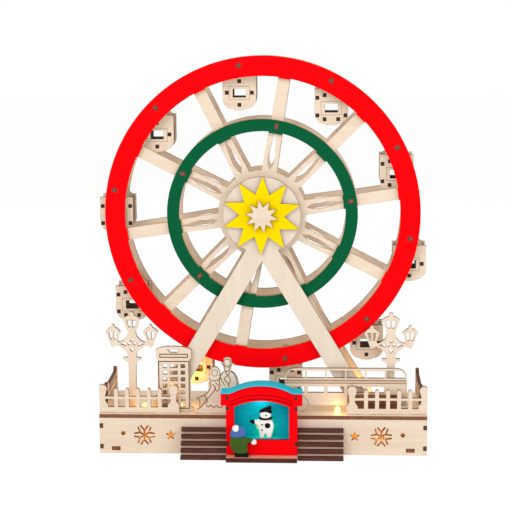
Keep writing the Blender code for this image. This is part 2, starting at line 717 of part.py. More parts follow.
def build_bus():
    """A double-deck bus on two wheels, with a row of open windows on each deck."""
    half = BUS_LENGTH / 2
    lower = []
    for x in (-BUS_WHEEL_X, BUS_WHEEL_X):
        wheel = arc(x, BUS_WHEEL_RADIUS, BUS_WHEEL_RADIUS, math.radians(184), math.radians(356), 8)
        stub = BUS_WHEEL_TENON / 2
        left = [p for p in wheel if p[0] < x - stub]
        right = [p for p in wheel if p[0] > x + stub]
        rise = BUS_WHEEL_RADIUS - math.sqrt(BUS_WHEEL_RADIUS ** 2 - stub ** 2)
        lower += left + [(x - stub, rise), (x - stub, -PLY - GAP), (x + stub, -PLY - GAP),
                         (x + stub, rise)] + right
    corner = arc(half - BUS_CORNER, BUS_HEIGHT - BUS_CORNER, BUS_CORNER, 0.0, math.pi / 2, 6)
    outline = [(-half, BUS_SILL)] + lower + [(half, BUS_SILL)] + corner + mirrored(corner)
    holes = []
    pitch = (BUS_LENGTH - 2 * BUS_EDGE + BUS_WINDOW_GAP) / BUS_WINDOWS
    for low, high, gap in ((BUS_UPPER_FROM, BUS_UPPER_TO, BUS_WINDOW_GAP),
                           (BUS_LOWER_FROM, BUS_LOWER_TO, BUS_LOWER_GAP)):
        last = BUS_WINDOWS - (low == BUS_LOWER_FROM)
        for i in range(last):
            x = BUS_EDGE - half + pitch * i + (pitch - BUS_WINDOW_GAP) / 2
            pane = rectangle(x, (low + high) / 2, pitch - gap, high - low)
            if high == BUS_UPPER_TO and i in (0, BUS_WINDOWS - 1):
                end = 3 if i == 0 else 2
                cut = (high - low) / 2
                px, pz = pane[end]
                step = cut if i == 0 else -cut
                pane[end:end + 1] = sorted([(px + step, pz), (px, pz - cut)],
                                           key=lambda p: p[1], reverse=(i == 0))
            holes.append(pane)
    standing_plate("tour_bus", outline, holes, BUS_X, STREET_ROW,
                   (-BUS_WHEEL_X, BUS_WHEEL_X), birch, BUS_WHEEL_TENON)


def build_couple():
    """A walking couple in outline on a low ground strip."""
    tenon = COUPLE_WIDTH / 4
    outline = bottom_edge(-COUPLE_WIDTH / 2, COUPLE_WIDTH / 2, (-tenon, tenon))
    outline += scaled(COUPLE_SHARES, COUPLE_WIDTH, COUPLE_HEIGHT)
    standing_plate("couple_figures", outline, [], COUPLE_X, FENCE_ROW, (-tenon, tenon), birch)


def roof_height(x):
    """Top of the kiosk's roof: flat eaves, then a low arch over the middle."""
    reach = KIOSK_WING_WIDTH / 2 * KIOSK_ARCH_SHARE
    share = min(abs(x) / reach, 1.0)
    return KIOSK_EAVE_Z + (KIOSK_RIDGE_Z - KIOSK_EAVE_Z) * (1 - share ** 2.4) ** 1.3


def roof_line(half, drop, steps):
    """Points across the roof from right to left, a drop below its top."""
    xs = [half - 2 * half * i / steps for i in range(steps + 1)]
    return [(x, roof_height(x) - drop) for x in xs]


def build_kiosk():
    """The ticket kiosk in front of the base: floor, front, back, walls, counter and roof."""
    half = KIOSK_WIDTH / 2
    floor_depth = KIOSK_REACH - GAP
    floor = add_object("kiosk_floor", box_mesh((KIOSK_WIDTH, floor_depth, KIOSK_FLOOR_THICKNESS)),
                       dark_ply)
    floor.location = (0.0, KIOSK_FLOOR_Y + floor_depth / 2, KIOSK_FLOOR_THICKNESS / 2)

    wing = KIOSK_WING_WIDTH / 2
    under = PLY + GAP
    outline = [(-half, KIOSK_FOOT_Z), (half, KIOSK_FOOT_Z), (half, KIOSK_WING_Z), (wing, KIOSK_WING_Z)]
    outline += roof_line(wing, under, 14) + [(-wing, KIOSK_WING_Z), (-half, KIOSK_WING_Z)]
    opening_half = KIOSK_WINDOW_WIDTH / 2
    opening = [(-opening_half, KIOSK_WINDOW_FROM), (opening_half, KIOSK_WINDOW_FROM)]
    for i in range(9):
        share = 1 - 2 * i / 8
        opening.append((opening_half * share, KIOSK_WINDOW_TO + KIOSK_WINDOW_RISE * (1 - share ** 2)))
    wall_x = half - PLY / 2 - LAP
    slots = [rectangle(side * wall_x, z, PLY + 2 * GAP, KIOSK_WALL_TAB + 2 * GAP)
             for side in (-1, 1) for z in KIOSK_WALL_TABS_Z]
    front = add_object("kiosk_front", sheet_mesh(outline, [opening] + slots), red_paint)
    stand(front, 0.0, KIOSK_FRONT_Y, 0.0)

    wall_from = KIOSK_FRONT_Y + PLY + GAP
    wall_to = FRONT_Y - GAP
    wall_top = roof_height(wall_x) - under
    tab = KIOSK_WALL_TAB / 2
    edge = [(wall_to, KIOSK_FOOT_Z), (wall_to, wall_top), (wall_from, wall_top)]
    for z in reversed(KIOSK_WALL_TABS_Z):
        edge += [(wall_from, z + tab), (KIOSK_FRONT_Y, z + tab), (KIOSK_FRONT_Y, z - tab),
                 (wall_from, z - tab)]
    edge.append((wall_from, KIOSK_FOOT_Z))
    for name, side in (("kiosk_wall_left", -1), ("kiosk_wall_right", 1)):
        wall = add_object(name, sheet_mesh(edge), red_paint)
        turn_sideways(wall, side * wall_x, 0.0, 0.0)

    inside = wall_x - PLY / 2 - GAP
    outline = [(-inside, KIOSK_FOOT_Z), (inside, KIOSK_FOOT_Z)] + roof_line(inside, under, 10)
    light = circle(KIOSK_LED_X, KIOSK_LED_Z, LED_RADIUS + GAP, 8)
    back = add_object("kiosk_back", sheet_mesh(outline, [light]), teal_paint)
    stand(back, 0.0, KIOSK_BACK_Y, 0.0)

    counter_depth = KIOSK_BACK_Y - GAP - wall_from
    counter = add_object("kiosk_counter", box_mesh((2 * inside, counter_depth, PLY)), teal_paint)
    counter.location = (0.0, wall_from + counter_depth / 2, KIOSK_COUNTER_Z + PLY / 2)

    roof_front = KIOSK_FRONT_Y - KIOSK_ROOF_OVERHANG
    depth = wall_to - roof_front
    profile = roof_line(wing, 0.0, 14)
    profile += [(x, z - PLY) for x, z in reversed(profile)]
    roof = add_object("kiosk_roof", sheet_mesh(profile, [], depth), cyan_paint)
    stand(roof, 0.0, roof_front, 0.0, depth)


def build_figures():
    """A snowman on the kiosk's counter and a child on its floor."""
    outline = scaled(SNOWMAN_SHARES, SNOWMAN_WIDTH, SNOWMAN_HEIGHT)
    snowman = add_object("snowman", sheet_mesh(outline), white_paint)
    counter_front = KIOSK_FRONT_Y + PLY + 2 * GAP
    stand(snowman, SNOWMAN_X, counter_front + SNOWMAN_FROM_COUNTER_FRONT, KIOSK_COUNTER_Z + PLY + GAP)
    outline = scaled(CHILD_SHARES, CHILD_WIDTH, CHILD_HEIGHT)
    child = add_object("child_figure", sheet_mesh(outline), green_paint)
    stand(child, CHILD_X, KIOSK_FLOOR_Y + CHILD_FROM_FLOOR_EDGE, KIOSK_FOOT_Z)


def build_steps():
    """Five boards a side, each set back from the one below over a thin shadow gap."""
    profile = [(FRONT_Y - GAP, 0.0), (FRONT_Y - STEP_REACH, 0.0)]
    for i in range(STEP_COUNT):
        front = FRONT_Y - STEP_REACH + STEP_TREAD * i
        top = STEP_RISE * i + STEP_PLY
        profile += [(front, STEP_RISE * i), (front, top)]
        if i < STEP_COUNT - 1:
            inner = front + STEP_TREAD + STEP_UNDERCUT
            profile += [(inner, top), (inner, STEP_RISE * (i + 1))]
    profile.append((FRONT_Y - GAP, STEP_RISE * (STEP_COUNT - 1) + STEP_PLY))
    profile.pop(1)
    for name, side in (("steps_left", -1), ("steps_right", 1)):
        steps = add_object(name, sheet_mesh(profile, [], STEP_WIDTH), dark_ply)
        turn_sideways(steps, side * (KIOSK_WIDTH / 2 + GAP + STEP_WIDTH / 2), 0.0, 0.0)


def frame_outline():
    """An A-frame about its axle: a round head on two legs that meet in a crotch."""
    drop = AXLE_Z - DECK_TOP - GAP
    middle = BASE_HALF - FOOT_FROM_END
    fall = drop - CROTCH_DROP
    tilt = math.acos(LEG_WIDTH / 2 / math.hypot(middle, fall)) - math.atan2(fall, middle)
    slope = math.tan(tilt)
    across = LEG_WIDTH / math.cos(tilt)
    inner_x = middle - across / 2
    offset = across - CROTCH_DROP * slope
    a = 1 + slope ** 2
    b = 2 * slope * offset
    c = offset ** 2 - HEAD_RADIUS ** 2
    fall = (-b + math.sqrt(b ** 2 - 4 * a * c)) / (2 * a)
    start = math.atan2(-fall, offset + slope * fall)
    foot = [(inner_x, -drop), (middle - FOOT_TENON / 2, -drop),
            (middle - FOOT_TENON / 2, -drop - PLY - GAP), (middle + FOOT_TENON / 2, -drop - PLY - GAP),
            (middle + FOOT_TENON / 2, -drop), (inner_x + across, -drop)]
    head = arc(0.0, 0.0, HEAD_RADIUS, start, math.pi - start, 20)
    return [(0.0, -CROTCH_DROP)] + foot + head + mirrored(foot), middle


def build_frames():
    """The two A-frames and the fixed sun in front of the first."""
    outline, foot_x = frame_outline()
    bore = circle(0.0, 0.0, AXLE_RADIUS + GAP, 12)
    for name, front_y in (("frame_front", FRAME_Y), ("frame_rear", FRAME_REAR_Y)):
        frame = add_object(name, sheet_mesh(outline, [bore]), birch)
        stand(frame, 0.0, front_y, AXLE_Z)
        for side in (-1, 1):
            slot_for(side * foot_x, front_y + PLY / 2, FOOT_TENON)
    sun = add_object("sun_star", sheet_mesh(star(SUN_RADIUS, SUN_VALLEY, STAR_POINTS, math.pi / 2), [bore]),
                     yellow_paint)
    stand(sun, 0.0, SUN_Y, AXLE_Z)


def spoke_angles():
    """Angles of the spokes at rest."""
    return [WHEEL_PHASE + SPOKE_PITCH * i for i in range(SPOKES)]


def bar_angles():
    """Angles of the cabin bars at rest, half way between the spokes."""
    return [angle + SPOKE_PITCH / 2 for angle in spoke_angles()]


def radial_rectangle(radius, angle, radial, across):
    """A rectangle on a circle, its first side along the radius."""
    return rotated(rectangle(radius, 0.0, radial, across), angle)


def wedge(inner, outer, inner_width, outer_width, spoke):
    """The opening between a spoke and the next one, between two radii."""
    start_in = math.asin(inner_width / 2 / inner)
    start_out = math.asin(outer_width / 2 / outer)
    end_in, end_out = SPOKE_PITCH - start_in, SPOKE_PITCH - start_out
    loop = arc(0.0, 0.0, inner, start_in, end_in, arc_steps(inner, end_in - start_in))
    loop += arc(0.0, 0.0, outer, end_out, start_out, arc_steps(outer, end_out - start_out))
    return rotated(loop, spoke)


def wheel_openings():
    """Every opening of a wheel plate: two wedges and a pointed slot a spoke, and the bore."""
    loops = [circle(0.0, 0.0, AXLE_RADIUS + GAP, 12)]
    for spoke in spoke_angles():
        loops.append(wedge(RING_OUTER, PLATE_INNER, SPOKE_WIDTH, SPOKE_WIDTH, spoke))
        loops.append(wedge(HUB_RADIUS, RING_INNER, SPOKE_HUB_WIDTH, SPOKE_RING_WIDTH, spoke))
        loops.append(rotated([(LANCET_OUTER, 0.0), (LANCET_WIDEST, LANCET_WIDTH / 2),
                              (LANCET_INNER, 0.0), (LANCET_WIDEST, -LANCET_WIDTH / 2)], spoke))
    return loops


def bar_holes():
    """Holes for the cabin bars."""
    return [radial_rectangle(BAR_CIRCLE, a, BAR_RADIAL + 2 * GAP, PLY + 2 * GAP) for a in bar_angles()]


def cross_bar_holes():
    """Holes for the cross bars, at every second spoke."""
    middle = (RING_INNER + RING_OUTER) / 2
    return [radial_rectangle(middle, a, CROSS_BAR_RADIAL + 2 * GAP, PLY + 2 * GAP)
            for a in spoke_angles()[::2]]


def ring_outline(radius, pad, width, inward):
    """A circle with a shallow pad at each spoke, as wide as the spoke."""
    reach = radius - pad if inward else radius + pad
    half = math.asin(width / 2 / radius)
    steps = arc_steps(radius, SPOKE_PITCH - 2 * half)
    loop = []
    for spoke in spoke_angles():
        loop += arc(0.0, 0.0, reach, spoke - half, spoke + half, 1)
        loop += arc(0.0, 0.0, radius, spoke + half, spoke + SPOKE_PITCH - half, steps)
    return loop


def build_wheel():
    """The wheel: two plates joined by bars, the painted rim and ring, and the axle."""
    axis = add_empty("wheel_axis", (0.0, 0.0, AXLE_Z))
    outer = circle(0.0, 0.0, PLATE_OUTER, arc_steps(PLATE_OUTER, 2 * math.pi))

    front = add_object("wheel_front", sheet_mesh(outer, wheel_openings() + bar_holes() + cross_bar_holes()),
                       birch, axis)
    stand(front, 0.0, WHEEL_FRONT_Y, 0.0)

    rear_mesh = sheet_mesh(outer, wheel_openings())
    rear_middle = WHEEL_REAR_Y + PLY / 2
    reach_bar = rear_middle - RIM_Y
    bars = []
    for angles, radius, radial in ((bar_angles(), BAR_CIRCLE, BAR_RADIAL),
                                   (spoke_angles()[::2], (RING_INNER + RING_OUTER) / 2, CROSS_BAR_RADIAL)):
        for angle in angles:
            bar = box_mesh((radial, PLY, reach_bar), (radius, 0.0, reach_bar / 2))
            bars.append(moved(bar, Matrix.Rotation(angle, 4, "Z")))
    rear = add_object("wheel_rear", combined(rear_mesh, bars, "UNION"), birch, axis)
    stand(rear, 0.0, WHEEL_REAR_Y, 0.0)

    rim_hole = ring_outline(RIM_INNER, RIM_PAD, SPOKE_WIDTH, True)
    rim_edge = circle(0.0, 0.0, RIM_OUTER, arc_steps(RIM_OUTER, 2 * math.pi))
    rim = add_object("rim_red", sheet_mesh(rim_edge, [rim_hole] + bar_holes()), red_paint, axis)
    stand(rim, 0.0, RIM_Y, 0.0)

    ring_edge = circle(0.0, 0.0, RING_OUTER, arc_steps(RING_OUTER, 2 * math.pi))
    ring_hole = ring_outline(RING_INNER, RING_PAD, SPOKE_RING_WIDTH, True)
    ring = add_object("ring_green", sheet_mesh(ring_edge, [ring_hole] + cross_bar_holes()),
                      green_paint, axis)
    stand(ring, 0.0, RIM_Y, 0.0)

    build_axle(axis)
    bore = circle(0.0, 0.0, AXLE_RADIUS + GAP, 12)
    phase = spoke_angles()[0]
    trim = add_object("hub_star", sheet_mesh(star(STAR_RADIUS, STAR_VALLEY, STAR_POINTS, phase), [bore]),
                      birch, axis)
    stand(trim, 0.0, STAR_Y, 0.0)


def build_axle(axis):
    """The axle: a rod with a collar between each A-frame and the wheel plate beside it."""
    front, back = STAR_Y, FRAME_REAR_Y + PLY + AXLE_END
    shoulder_front = FRAME_Y + PLY + GAP
    plate_front = WHEEL_FRONT_Y - GAP
    plate_back = WHEEL_REAR_Y + PLY + GAP
    shoulder_back = FRAME_REAR_Y - GAP
    profile = [(0.0, front), (AXLE_RADIUS, front), (AXLE_RADIUS, shoulder_front),
               (COLLAR_RADIUS, shoulder_front), (COLLAR_RADIUS, plate_front), (AXLE_RADIUS, plate_front),
               (AXLE_RADIUS, plate_back), (COLLAR_RADIUS, plate_back),
               (COLLAR_RADIUS, shoulder_back), (AXLE_RADIUS, shoulder_back), (AXLE_RADIUS, back),
               (0.0, back)]
    axle = turned("axle", [(r, -y) for r, y in profile], 12, beech, axis)
    axle.rotation_euler = (math.pi / 2, 0.0, 0.0)


def cabin_outline(inset, steps=2):
    """A cabin's face, inset all round: flat roof, straight sides, round corners, slack bottom."""
    half = CABIN_WIDTH / 2 - inset
    top = -CABIN_ROOF - inset
    low = -CABIN_DROP + CABIN_BELLY + inset
    radius = CABIN_CORNER - inset
    corner = arc(half - radius, low + radius, radius, 0.0, -math.pi / 2, steps)
    right = [(half, top)] + corner + [(0.0, low - CABIN_BELLY)]
    return right + mirrored(right[:-1])


def cabin_mesh():
    """One cabin about its bar: two faces with a window, a tube of walls and two hangers."""
    half = CABIN_DEPTH / 2
    window = rectangle(0.0, CABIN_WINDOW_Z, CABIN_WINDOW_WIDTH, CABIN_WINDOW_HEIGHT)
    front = moved(sheet_mesh(cabin_outline(0.0), [window]), Matrix.Translation((0.0, 0.0, half - PLY / 2)))
    back = moved(sheet_mesh(cabin_outline(0.0), [window]), Matrix.Translation((0.0, 0.0, PLY / 2 - half)))
    tube_length = CABIN_DEPTH - PLY
    tube = sheet_mesh(cabin_outline(CABIN_WALL_INSET), [cabin_outline(CABIN_WALL_INSET + CABIN_WALL, 1)],
                      tube_length)
    shoulder = HANGER_HALF_WIDTH - HANGER_HEAD
    seat = -CABIN_ROOF - CABIN_WALL_INSET - CABIN_WALL / 2
    head = arc(0.0, 0.0, HANGER_HEAD, math.radians(-8), math.radians(188), 4)
    hanger = [(-HANGER_HALF_WIDTH, seat), (HANGER_HALF_WIDTH, seat), (HANGER_HALF_WIDTH, -CABIN_ROOF),
              (HANGER_HEAD, shoulder - CABIN_ROOF)] + head
    hanger += [(-HANGER_HEAD, shoulder - CABIN_ROOF), (-HANGER_HALF_WIDTH, -CABIN_ROOF)]
    bore = circle(0.0, 0.0, HANGER_HOLE, 6)
    hangers = []
    for side in (-1, 1):
        plate = sheet_mesh(hanger, [bore], PLY + LAP)
        hangers.append(moved(plate, Matrix.Translation((0.0, 0.0, side * (half - PLY - PLY / 2 + LAP / 2)))))
    return combined(front, [back, tube] + hangers, "UNION")


def build_cabins():
    """Ten cabins, each hung from its own bar and free to stay upright."""
    shared = cabin_mesh()
    for i, angle in enumerate(bar_angles()):
        x, z = BAR_CIRCLE * math.cos(angle), BAR_CIRCLE * math.sin(angle)
        pivot = add_empty(f"cabin_pivot_{i + 1:02d}", (x, CABIN_Y, AXLE_Z + z))
        cabin = add_object(f"cabin_{i + 1:02d}", shared, birch, pivot)
        cabin.rotation_euler = (math.pi / 2, 0.0, 0.0)


def build_led(name, location, rotation):
    """A light with a round dome; its flat base is at the location."""
    dome = LED_HEIGHT - LED_RADIUS
    profile = [(LED_RADIUS * math.sin(a), dome + LED_RADIUS * math.cos(a))
               for a in (0.0, math.radians(35), math.radians(65), math.pi / 2)]
    profile += [(LED_RADIUS, 0.0), (0.0, 0.0)]
    led = turned(name, profile, 8, warm_light)
    led.location = location
    led.rotation_euler = rotation


def build_lead(name, route):
    """A thin lead through chosen points, straight at both ends and smooth between them."""
    points = [route[0]] + smooth_route(route[1:-1], 2) + [route[-1]]
    curve = bpy.data.curves.new(name, "CURVE")
    curve.dimensions = "3D"
    curve.bevel_depth = LEAD_RADIUS
    curve.bevel_resolution = 2
    curve.use_fill_caps = True
    spline = curve.splines.new("POLY")
    spline.points.add(len(points) - 1)
    for point, place in zip(spline.points, points):
        point.co = (*place, 1.0)
    obj = bpy.data.objects.new(name, curve)
    cutters.objects.link(obj)
    add_object(name, mesh_of(obj), copper)


def smooth_route(points, steps):
    """Points along a Catmull-Rom curve through the given points."""
    padded = [points[0]] + points + [points[-1]]
    route = []
    for a, b, c, d in zip(padded, padded[1:], padded[2:], padded[3:]):
        for i in range(steps):
            t = i / steps
            route.append(tuple(
                0.5 * (2 * q + (r - p) * t + (2 * p - 5 * q + 4 * r - s) * t ** 2
                       + (3 * q - p - 3 * r + s) * t ** 3)
                for p, q, r, s in zip(a, b, c, d)))
    return route + [points[-1]]


def build_lights():
    """Four lights in the deck, two behind the panel, one in the kiosk, and three leads that feed them."""
    for name, (x, depth) in DECK_LEDS.items():
        build_led(f"led_deck_{name}", (x, FRONT_Y + depth, DECK_UNDER), (0.0, 0.0, 0.0))
        deck_holes.append(circle(x, FRONT_Y + depth, LED_RADIUS + GAP, 8))
    panel_y = FRONT_Y + PANEL_LED_DEPTH
    for name, side in (("led_panel_left", -1), ("led_panel_right", 1)):
        build_led(name, (side * FLAKE_X, panel_y, CUTOUT_Z), (math.pi / 2, 0.0, 0.0))
    kiosk_base = FRONT_Y + PLY + LED_RADIUS
    build_led("led_kiosk", (KIOSK_LED_X, kiosk_base, KIOSK_LED_Z), (math.pi / 2, 0.0, 0.0))

    box_y = FRONT_Y + BATTERY_BOX_DEPTH_AT
    box_x = BATTERY_BOX_LENGTH / 2 + GAP
    lead_z = BATTERY_BOX_FOOT + BATTERY_BOX_HEIGHT / 2
    under = DECK_UNDER - GAP
    bend = 2 * LED_RADIUS
    behind = panel_y + GAP + LEAD_RADIUS
    for name, side, mid, end in (("lead_left", -1, "phone", "left"), ("lead_right", 1, "rear", "right")):
        (mid_x, mid_depth), (end_x, end_depth) = DECK_LEDS[mid], DECK_LEDS[end]
        far = side * FLAKE_X
        route = [(side * box_x, box_y, lead_z), (side * (box_x + bend), box_y, lead_z),
                 (mid_x, FRONT_Y + mid_depth, under - bend), (far, behind + bend, CUTOUT_Z + bend),
                 (far, behind, CUTOUT_Z), (far + side * bend, behind + bend, CUTOUT_Z + bend),
                 (end_x, FRONT_Y + end_depth, under - bend), (end_x, FRONT_Y + end_depth, under)]
        build_lead(name, route)
    front_of_box = box_y - BATTERY_BOX_WIDTH / 2 - GAP
    route = [(KIOSK_LED_X, front_of_box, lead_z), (KIOSK_LED_X, front_of_box - bend, lead_z),
             (KIOSK_LED_X, kiosk_base + bend, KIOSK_LED_Z), (KIOSK_LED_X, kiosk_base + GAP, KIOSK_LED_Z)]
    build_lead("lead_kiosk", route)


def build_supply():
    """The battery box in the bottom board, with its sliding lid, its cells and its switch."""
    wall = BATTERY_BOX_WALL
    centre_y = FRONT_Y + BATTERY_BOX_DEPTH_AT
    half = BATTERY_BOX_LENGTH / 2
    low = -BATTERY_BOX_HEIGHT / 2
    cavity_x = CELL_BAY / 2 + wall - half
    cavity_width = BATTERY_BOX_WIDTH - 2 * wall
    switch_x = half - wall - SWITCH_WIDTH / 2 - GAP
    run = SWITCH_LENGTH + SWITCH_TRAVEL + 2 * GAP
    cuts = [
        box_mesh((CELL_BAY, cavity_width, BATTERY_BOX_HEIGHT), (cavity_x, 0.0, -wall)),
        box_mesh((LID_CHANNEL, cavity_width, LID_CHANNEL_HEIGHT + LAP),
                 (LID_CHANNEL / 2 - half - LAP, 0.0, low + (LID_CHANNEL_HEIGHT - LAP) / 2)),
        box_mesh((SWITCH_WIDTH + 2 * GAP, run, SWITCH_DEPTH + LAP),
                 (switch_x, SWITCH_TRAVEL / 2, low + (SWITCH_DEPTH - LAP) / 2))]
    box = combined(box_mesh((BATTERY_BOX_LENGTH, BATTERY_BOX_WIDTH, BATTERY_BOX_HEIGHT)), cuts, "DIFFERENCE")
    tray = add_object("battery_box", box, black_plastic)
    tray.location = (0.0, centre_y, BATTERY_BOX_FOOT - low)

    lid_length = LID_CHANNEL - LAP - GAP
    lid = add_object("battery_lid", box_mesh((lid_length, cavity_width - 2 * GAP, wall)), black_plastic,
                     add_empty("lid_slide", (-half, centre_y, BATTERY_BOX_FOOT)))
    lid.location = (lid_length / 2, 0.0, wall / 2)
    knob_height = SWITCH_DEPTH - 2 * GAP
    knob = add_object("switch_knob", box_mesh((SWITCH_WIDTH, SWITCH_LENGTH, knob_height)), black_plastic,
                      add_empty("switch_slide", (switch_x, centre_y, BATTERY_BOX_FOOT + GAP)))
    knob.location = (0.0, 0.0, knob_height / 2)

    cell_z = BATTERY_BOX_FOOT + LID_CHANNEL_HEIGHT + CELL_RADIUS
    body = CELL_LENGTH - CELL_NUB
    profile = [(0.0, CELL_LENGTH), (CELL_NUB_RADIUS, CELL_LENGTH), (CELL_NUB_RADIUS, body),
               (CELL_RADIUS, body), (CELL_RADIUS, 0.0), (0.0, 0.0)]
    for name, side in (("battery_cell_1", -1), ("battery_cell_2", 1)):
        cell = turned(name, profile, 12, steel)
        cell.location = (cavity_x - side * CELL_LENGTH / 2, centre_y + side * (CELL_RADIUS + GAP), cell_z)
        cell.rotation_euler = (0.0, side * math.pi / 2, 0.0)


clear_scene()
model = make_collection("ferris_wheel_decoration")
cutters = make_collection("cutters")
birch = make_material("birch_plywood", (0.86, 0.72, 0.53), 0.62)
dark_ply = make_material("burnt_plywood", (0.17, 0.06, 0.03), 0.70)
beech = make_material("turned_beech", (0.74, 0.56, 0.37), 0.55)
red_paint = make_material("red_paint", (0.88, 0.01, 0.02), 0.45)
green_paint = make_material("green_paint", (0.02, 0.13, 0.06), 0.50)
yellow_paint = make_material("yellow_paint", (0.95, 0.72, 0.0), 0.45)
cyan_paint = make_material("cyan_paint", (0.02, 0.55, 0.72), 0.45)
teal_paint = make_material("teal_paint", (0.01, 0.30, 0.36), 0.50)
white_paint = make_material("white_paint", (0.90, 0.88, 0.85), 0.50)
warm_light = make_material("warm_light", (1.0, 0.80, 0.30), 0.25)
copper = make_material("enamelled_copper", (0.72, 0.35, 0.16), 0.35, 0.9)
black_plastic = make_material("black_plastic", (0.03, 0.03, 0.03), 0.45)
steel = make_material("plated_steel", (0.62, 0.62, 0.62), 0.30, 0.9)

build_base()
build_fences()
build_lamps()
build_phone_box()
build_bus()
build_couple()
build_kiosk()
build_figures()
build_steps()
build_frames()
build_wheel()
build_cabins()
build_lights()
build_supply()
build_deck()
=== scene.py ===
import math

import bmesh
import bpy
from mathutils import Matrix, Vector


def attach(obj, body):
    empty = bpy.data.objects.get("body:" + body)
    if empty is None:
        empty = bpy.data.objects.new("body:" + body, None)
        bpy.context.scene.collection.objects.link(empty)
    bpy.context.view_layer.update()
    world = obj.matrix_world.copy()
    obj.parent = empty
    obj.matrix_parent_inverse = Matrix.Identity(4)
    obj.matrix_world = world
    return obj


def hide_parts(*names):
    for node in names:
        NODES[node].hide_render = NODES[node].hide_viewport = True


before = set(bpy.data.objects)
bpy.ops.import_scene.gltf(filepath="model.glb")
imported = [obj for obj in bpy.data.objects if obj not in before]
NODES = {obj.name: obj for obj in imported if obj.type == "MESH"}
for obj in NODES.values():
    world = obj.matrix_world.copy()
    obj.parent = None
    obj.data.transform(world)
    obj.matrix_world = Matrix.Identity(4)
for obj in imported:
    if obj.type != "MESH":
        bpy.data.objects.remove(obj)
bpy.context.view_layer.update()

scene = bpy.context.scene

MM = 0.001
PLY = 3.0          # thickness of the sheet; lengths below are in millimetres
DECK = 35.8        # top of the deck
AXLE = 212.0       # height of the axle

# Front faces of the plates, along Y
PANEL_Y = -26.8
KIOSK_Y = -42.5
FENCE_Y = -22.6
STREET_Y = -15.5
SUN_Y = -14.7
STAR_Y = -18.15
FRAME_FRONT_Y = -11.4
FRAME_REAR_Y = 33.4
RING_Y = -6.4
WHEEL_FRONT_Y = -3.1
WHEEL_REAR_Y = 28.4
CABIN_FRONT_Y = 1.9
CABIN_REAR_Y = 23.3

# The wheel's radii and angles
BORE_RADIUS = 4.3
HUB_RADIUS = 38.7
RING_OUTER = 83.6
RING_INNER = 73.0
CABIN_BAR_RADIUS = 131.0
CROSS_BAR_RADIUS = 78.15
PHASE = math.radians(8.6)
PITCH = math.radians(36.0)
SPOKES = [PHASE + PITCH * i for i in range(10)]
CABINS_WITH_FOUR_TABS = (135, 99, 351, 315, 243)


# Camera, light and floor
def set_camera():
    """Stand the camera where the photograph was taken from."""
    yaw, pitch, roll = 0.05044, 0.18428, -0.00707
    pixels, focal_pixels = 512.0, 1506.0
    forward = Vector((-math.sin(yaw) * math.cos(pitch), math.cos(yaw) * math.cos(pitch), -math.sin(pitch)))
    right = Vector((math.cos(yaw), math.sin(yaw), 0.0))
    up = right.cross(forward)
    side = math.cos(roll) * right + math.sin(roll) * up
    top = -math.sin(roll) * right + math.cos(roll) * up
    data = bpy.data.cameras.new("camera")
    data.sensor_width = 36.0
    data.lens = focal_pixels / pixels * data.sensor_width
    data.clip_end = 20.0
    camera = bpy.data.objects.new("camera", data)
    scene.collection.objects.link(camera)
    turn = Matrix((side, top, -forward)).transposed().to_4x4()
    camera.matrix_world = Matrix.Translation((0.0600, -1.2802 + PANEL_Y * MM, 0.4178)) @ turn
    scene.camera = camera


def area(name, location, target, size, energy, colour=(1.0, 1.0, 1.0)):
    """A soft square lamp that looks at a target."""
    data = bpy.data.lights.new(name, "AREA")
    data.size = size
    data.energy = energy
    data.color = colour
    lamp = bpy.data.objects.new(name, data)
    lamp.location = location
    direction = Vector(target) - Vector(location)
    lamp.rotation_euler = direction.to_track_quat("-Z", "Y").to_euler()
    scene.collection.objects.link(lamp)


def point(name, location, energy, colour=(1.0, 0.66, 0.26), radius=0.002):
    """A small warm lamp; its place is in millimetres."""
    data = bpy.data.lights.new(name, "POINT")
    data.energy = energy
    data.color = colour
    data.shadow_soft_size = radius
    lamp = bpy.data.objects.new(name, data)
    lamp.location = [c * MM for c in location]
    scene.collection.objects.link(lamp)


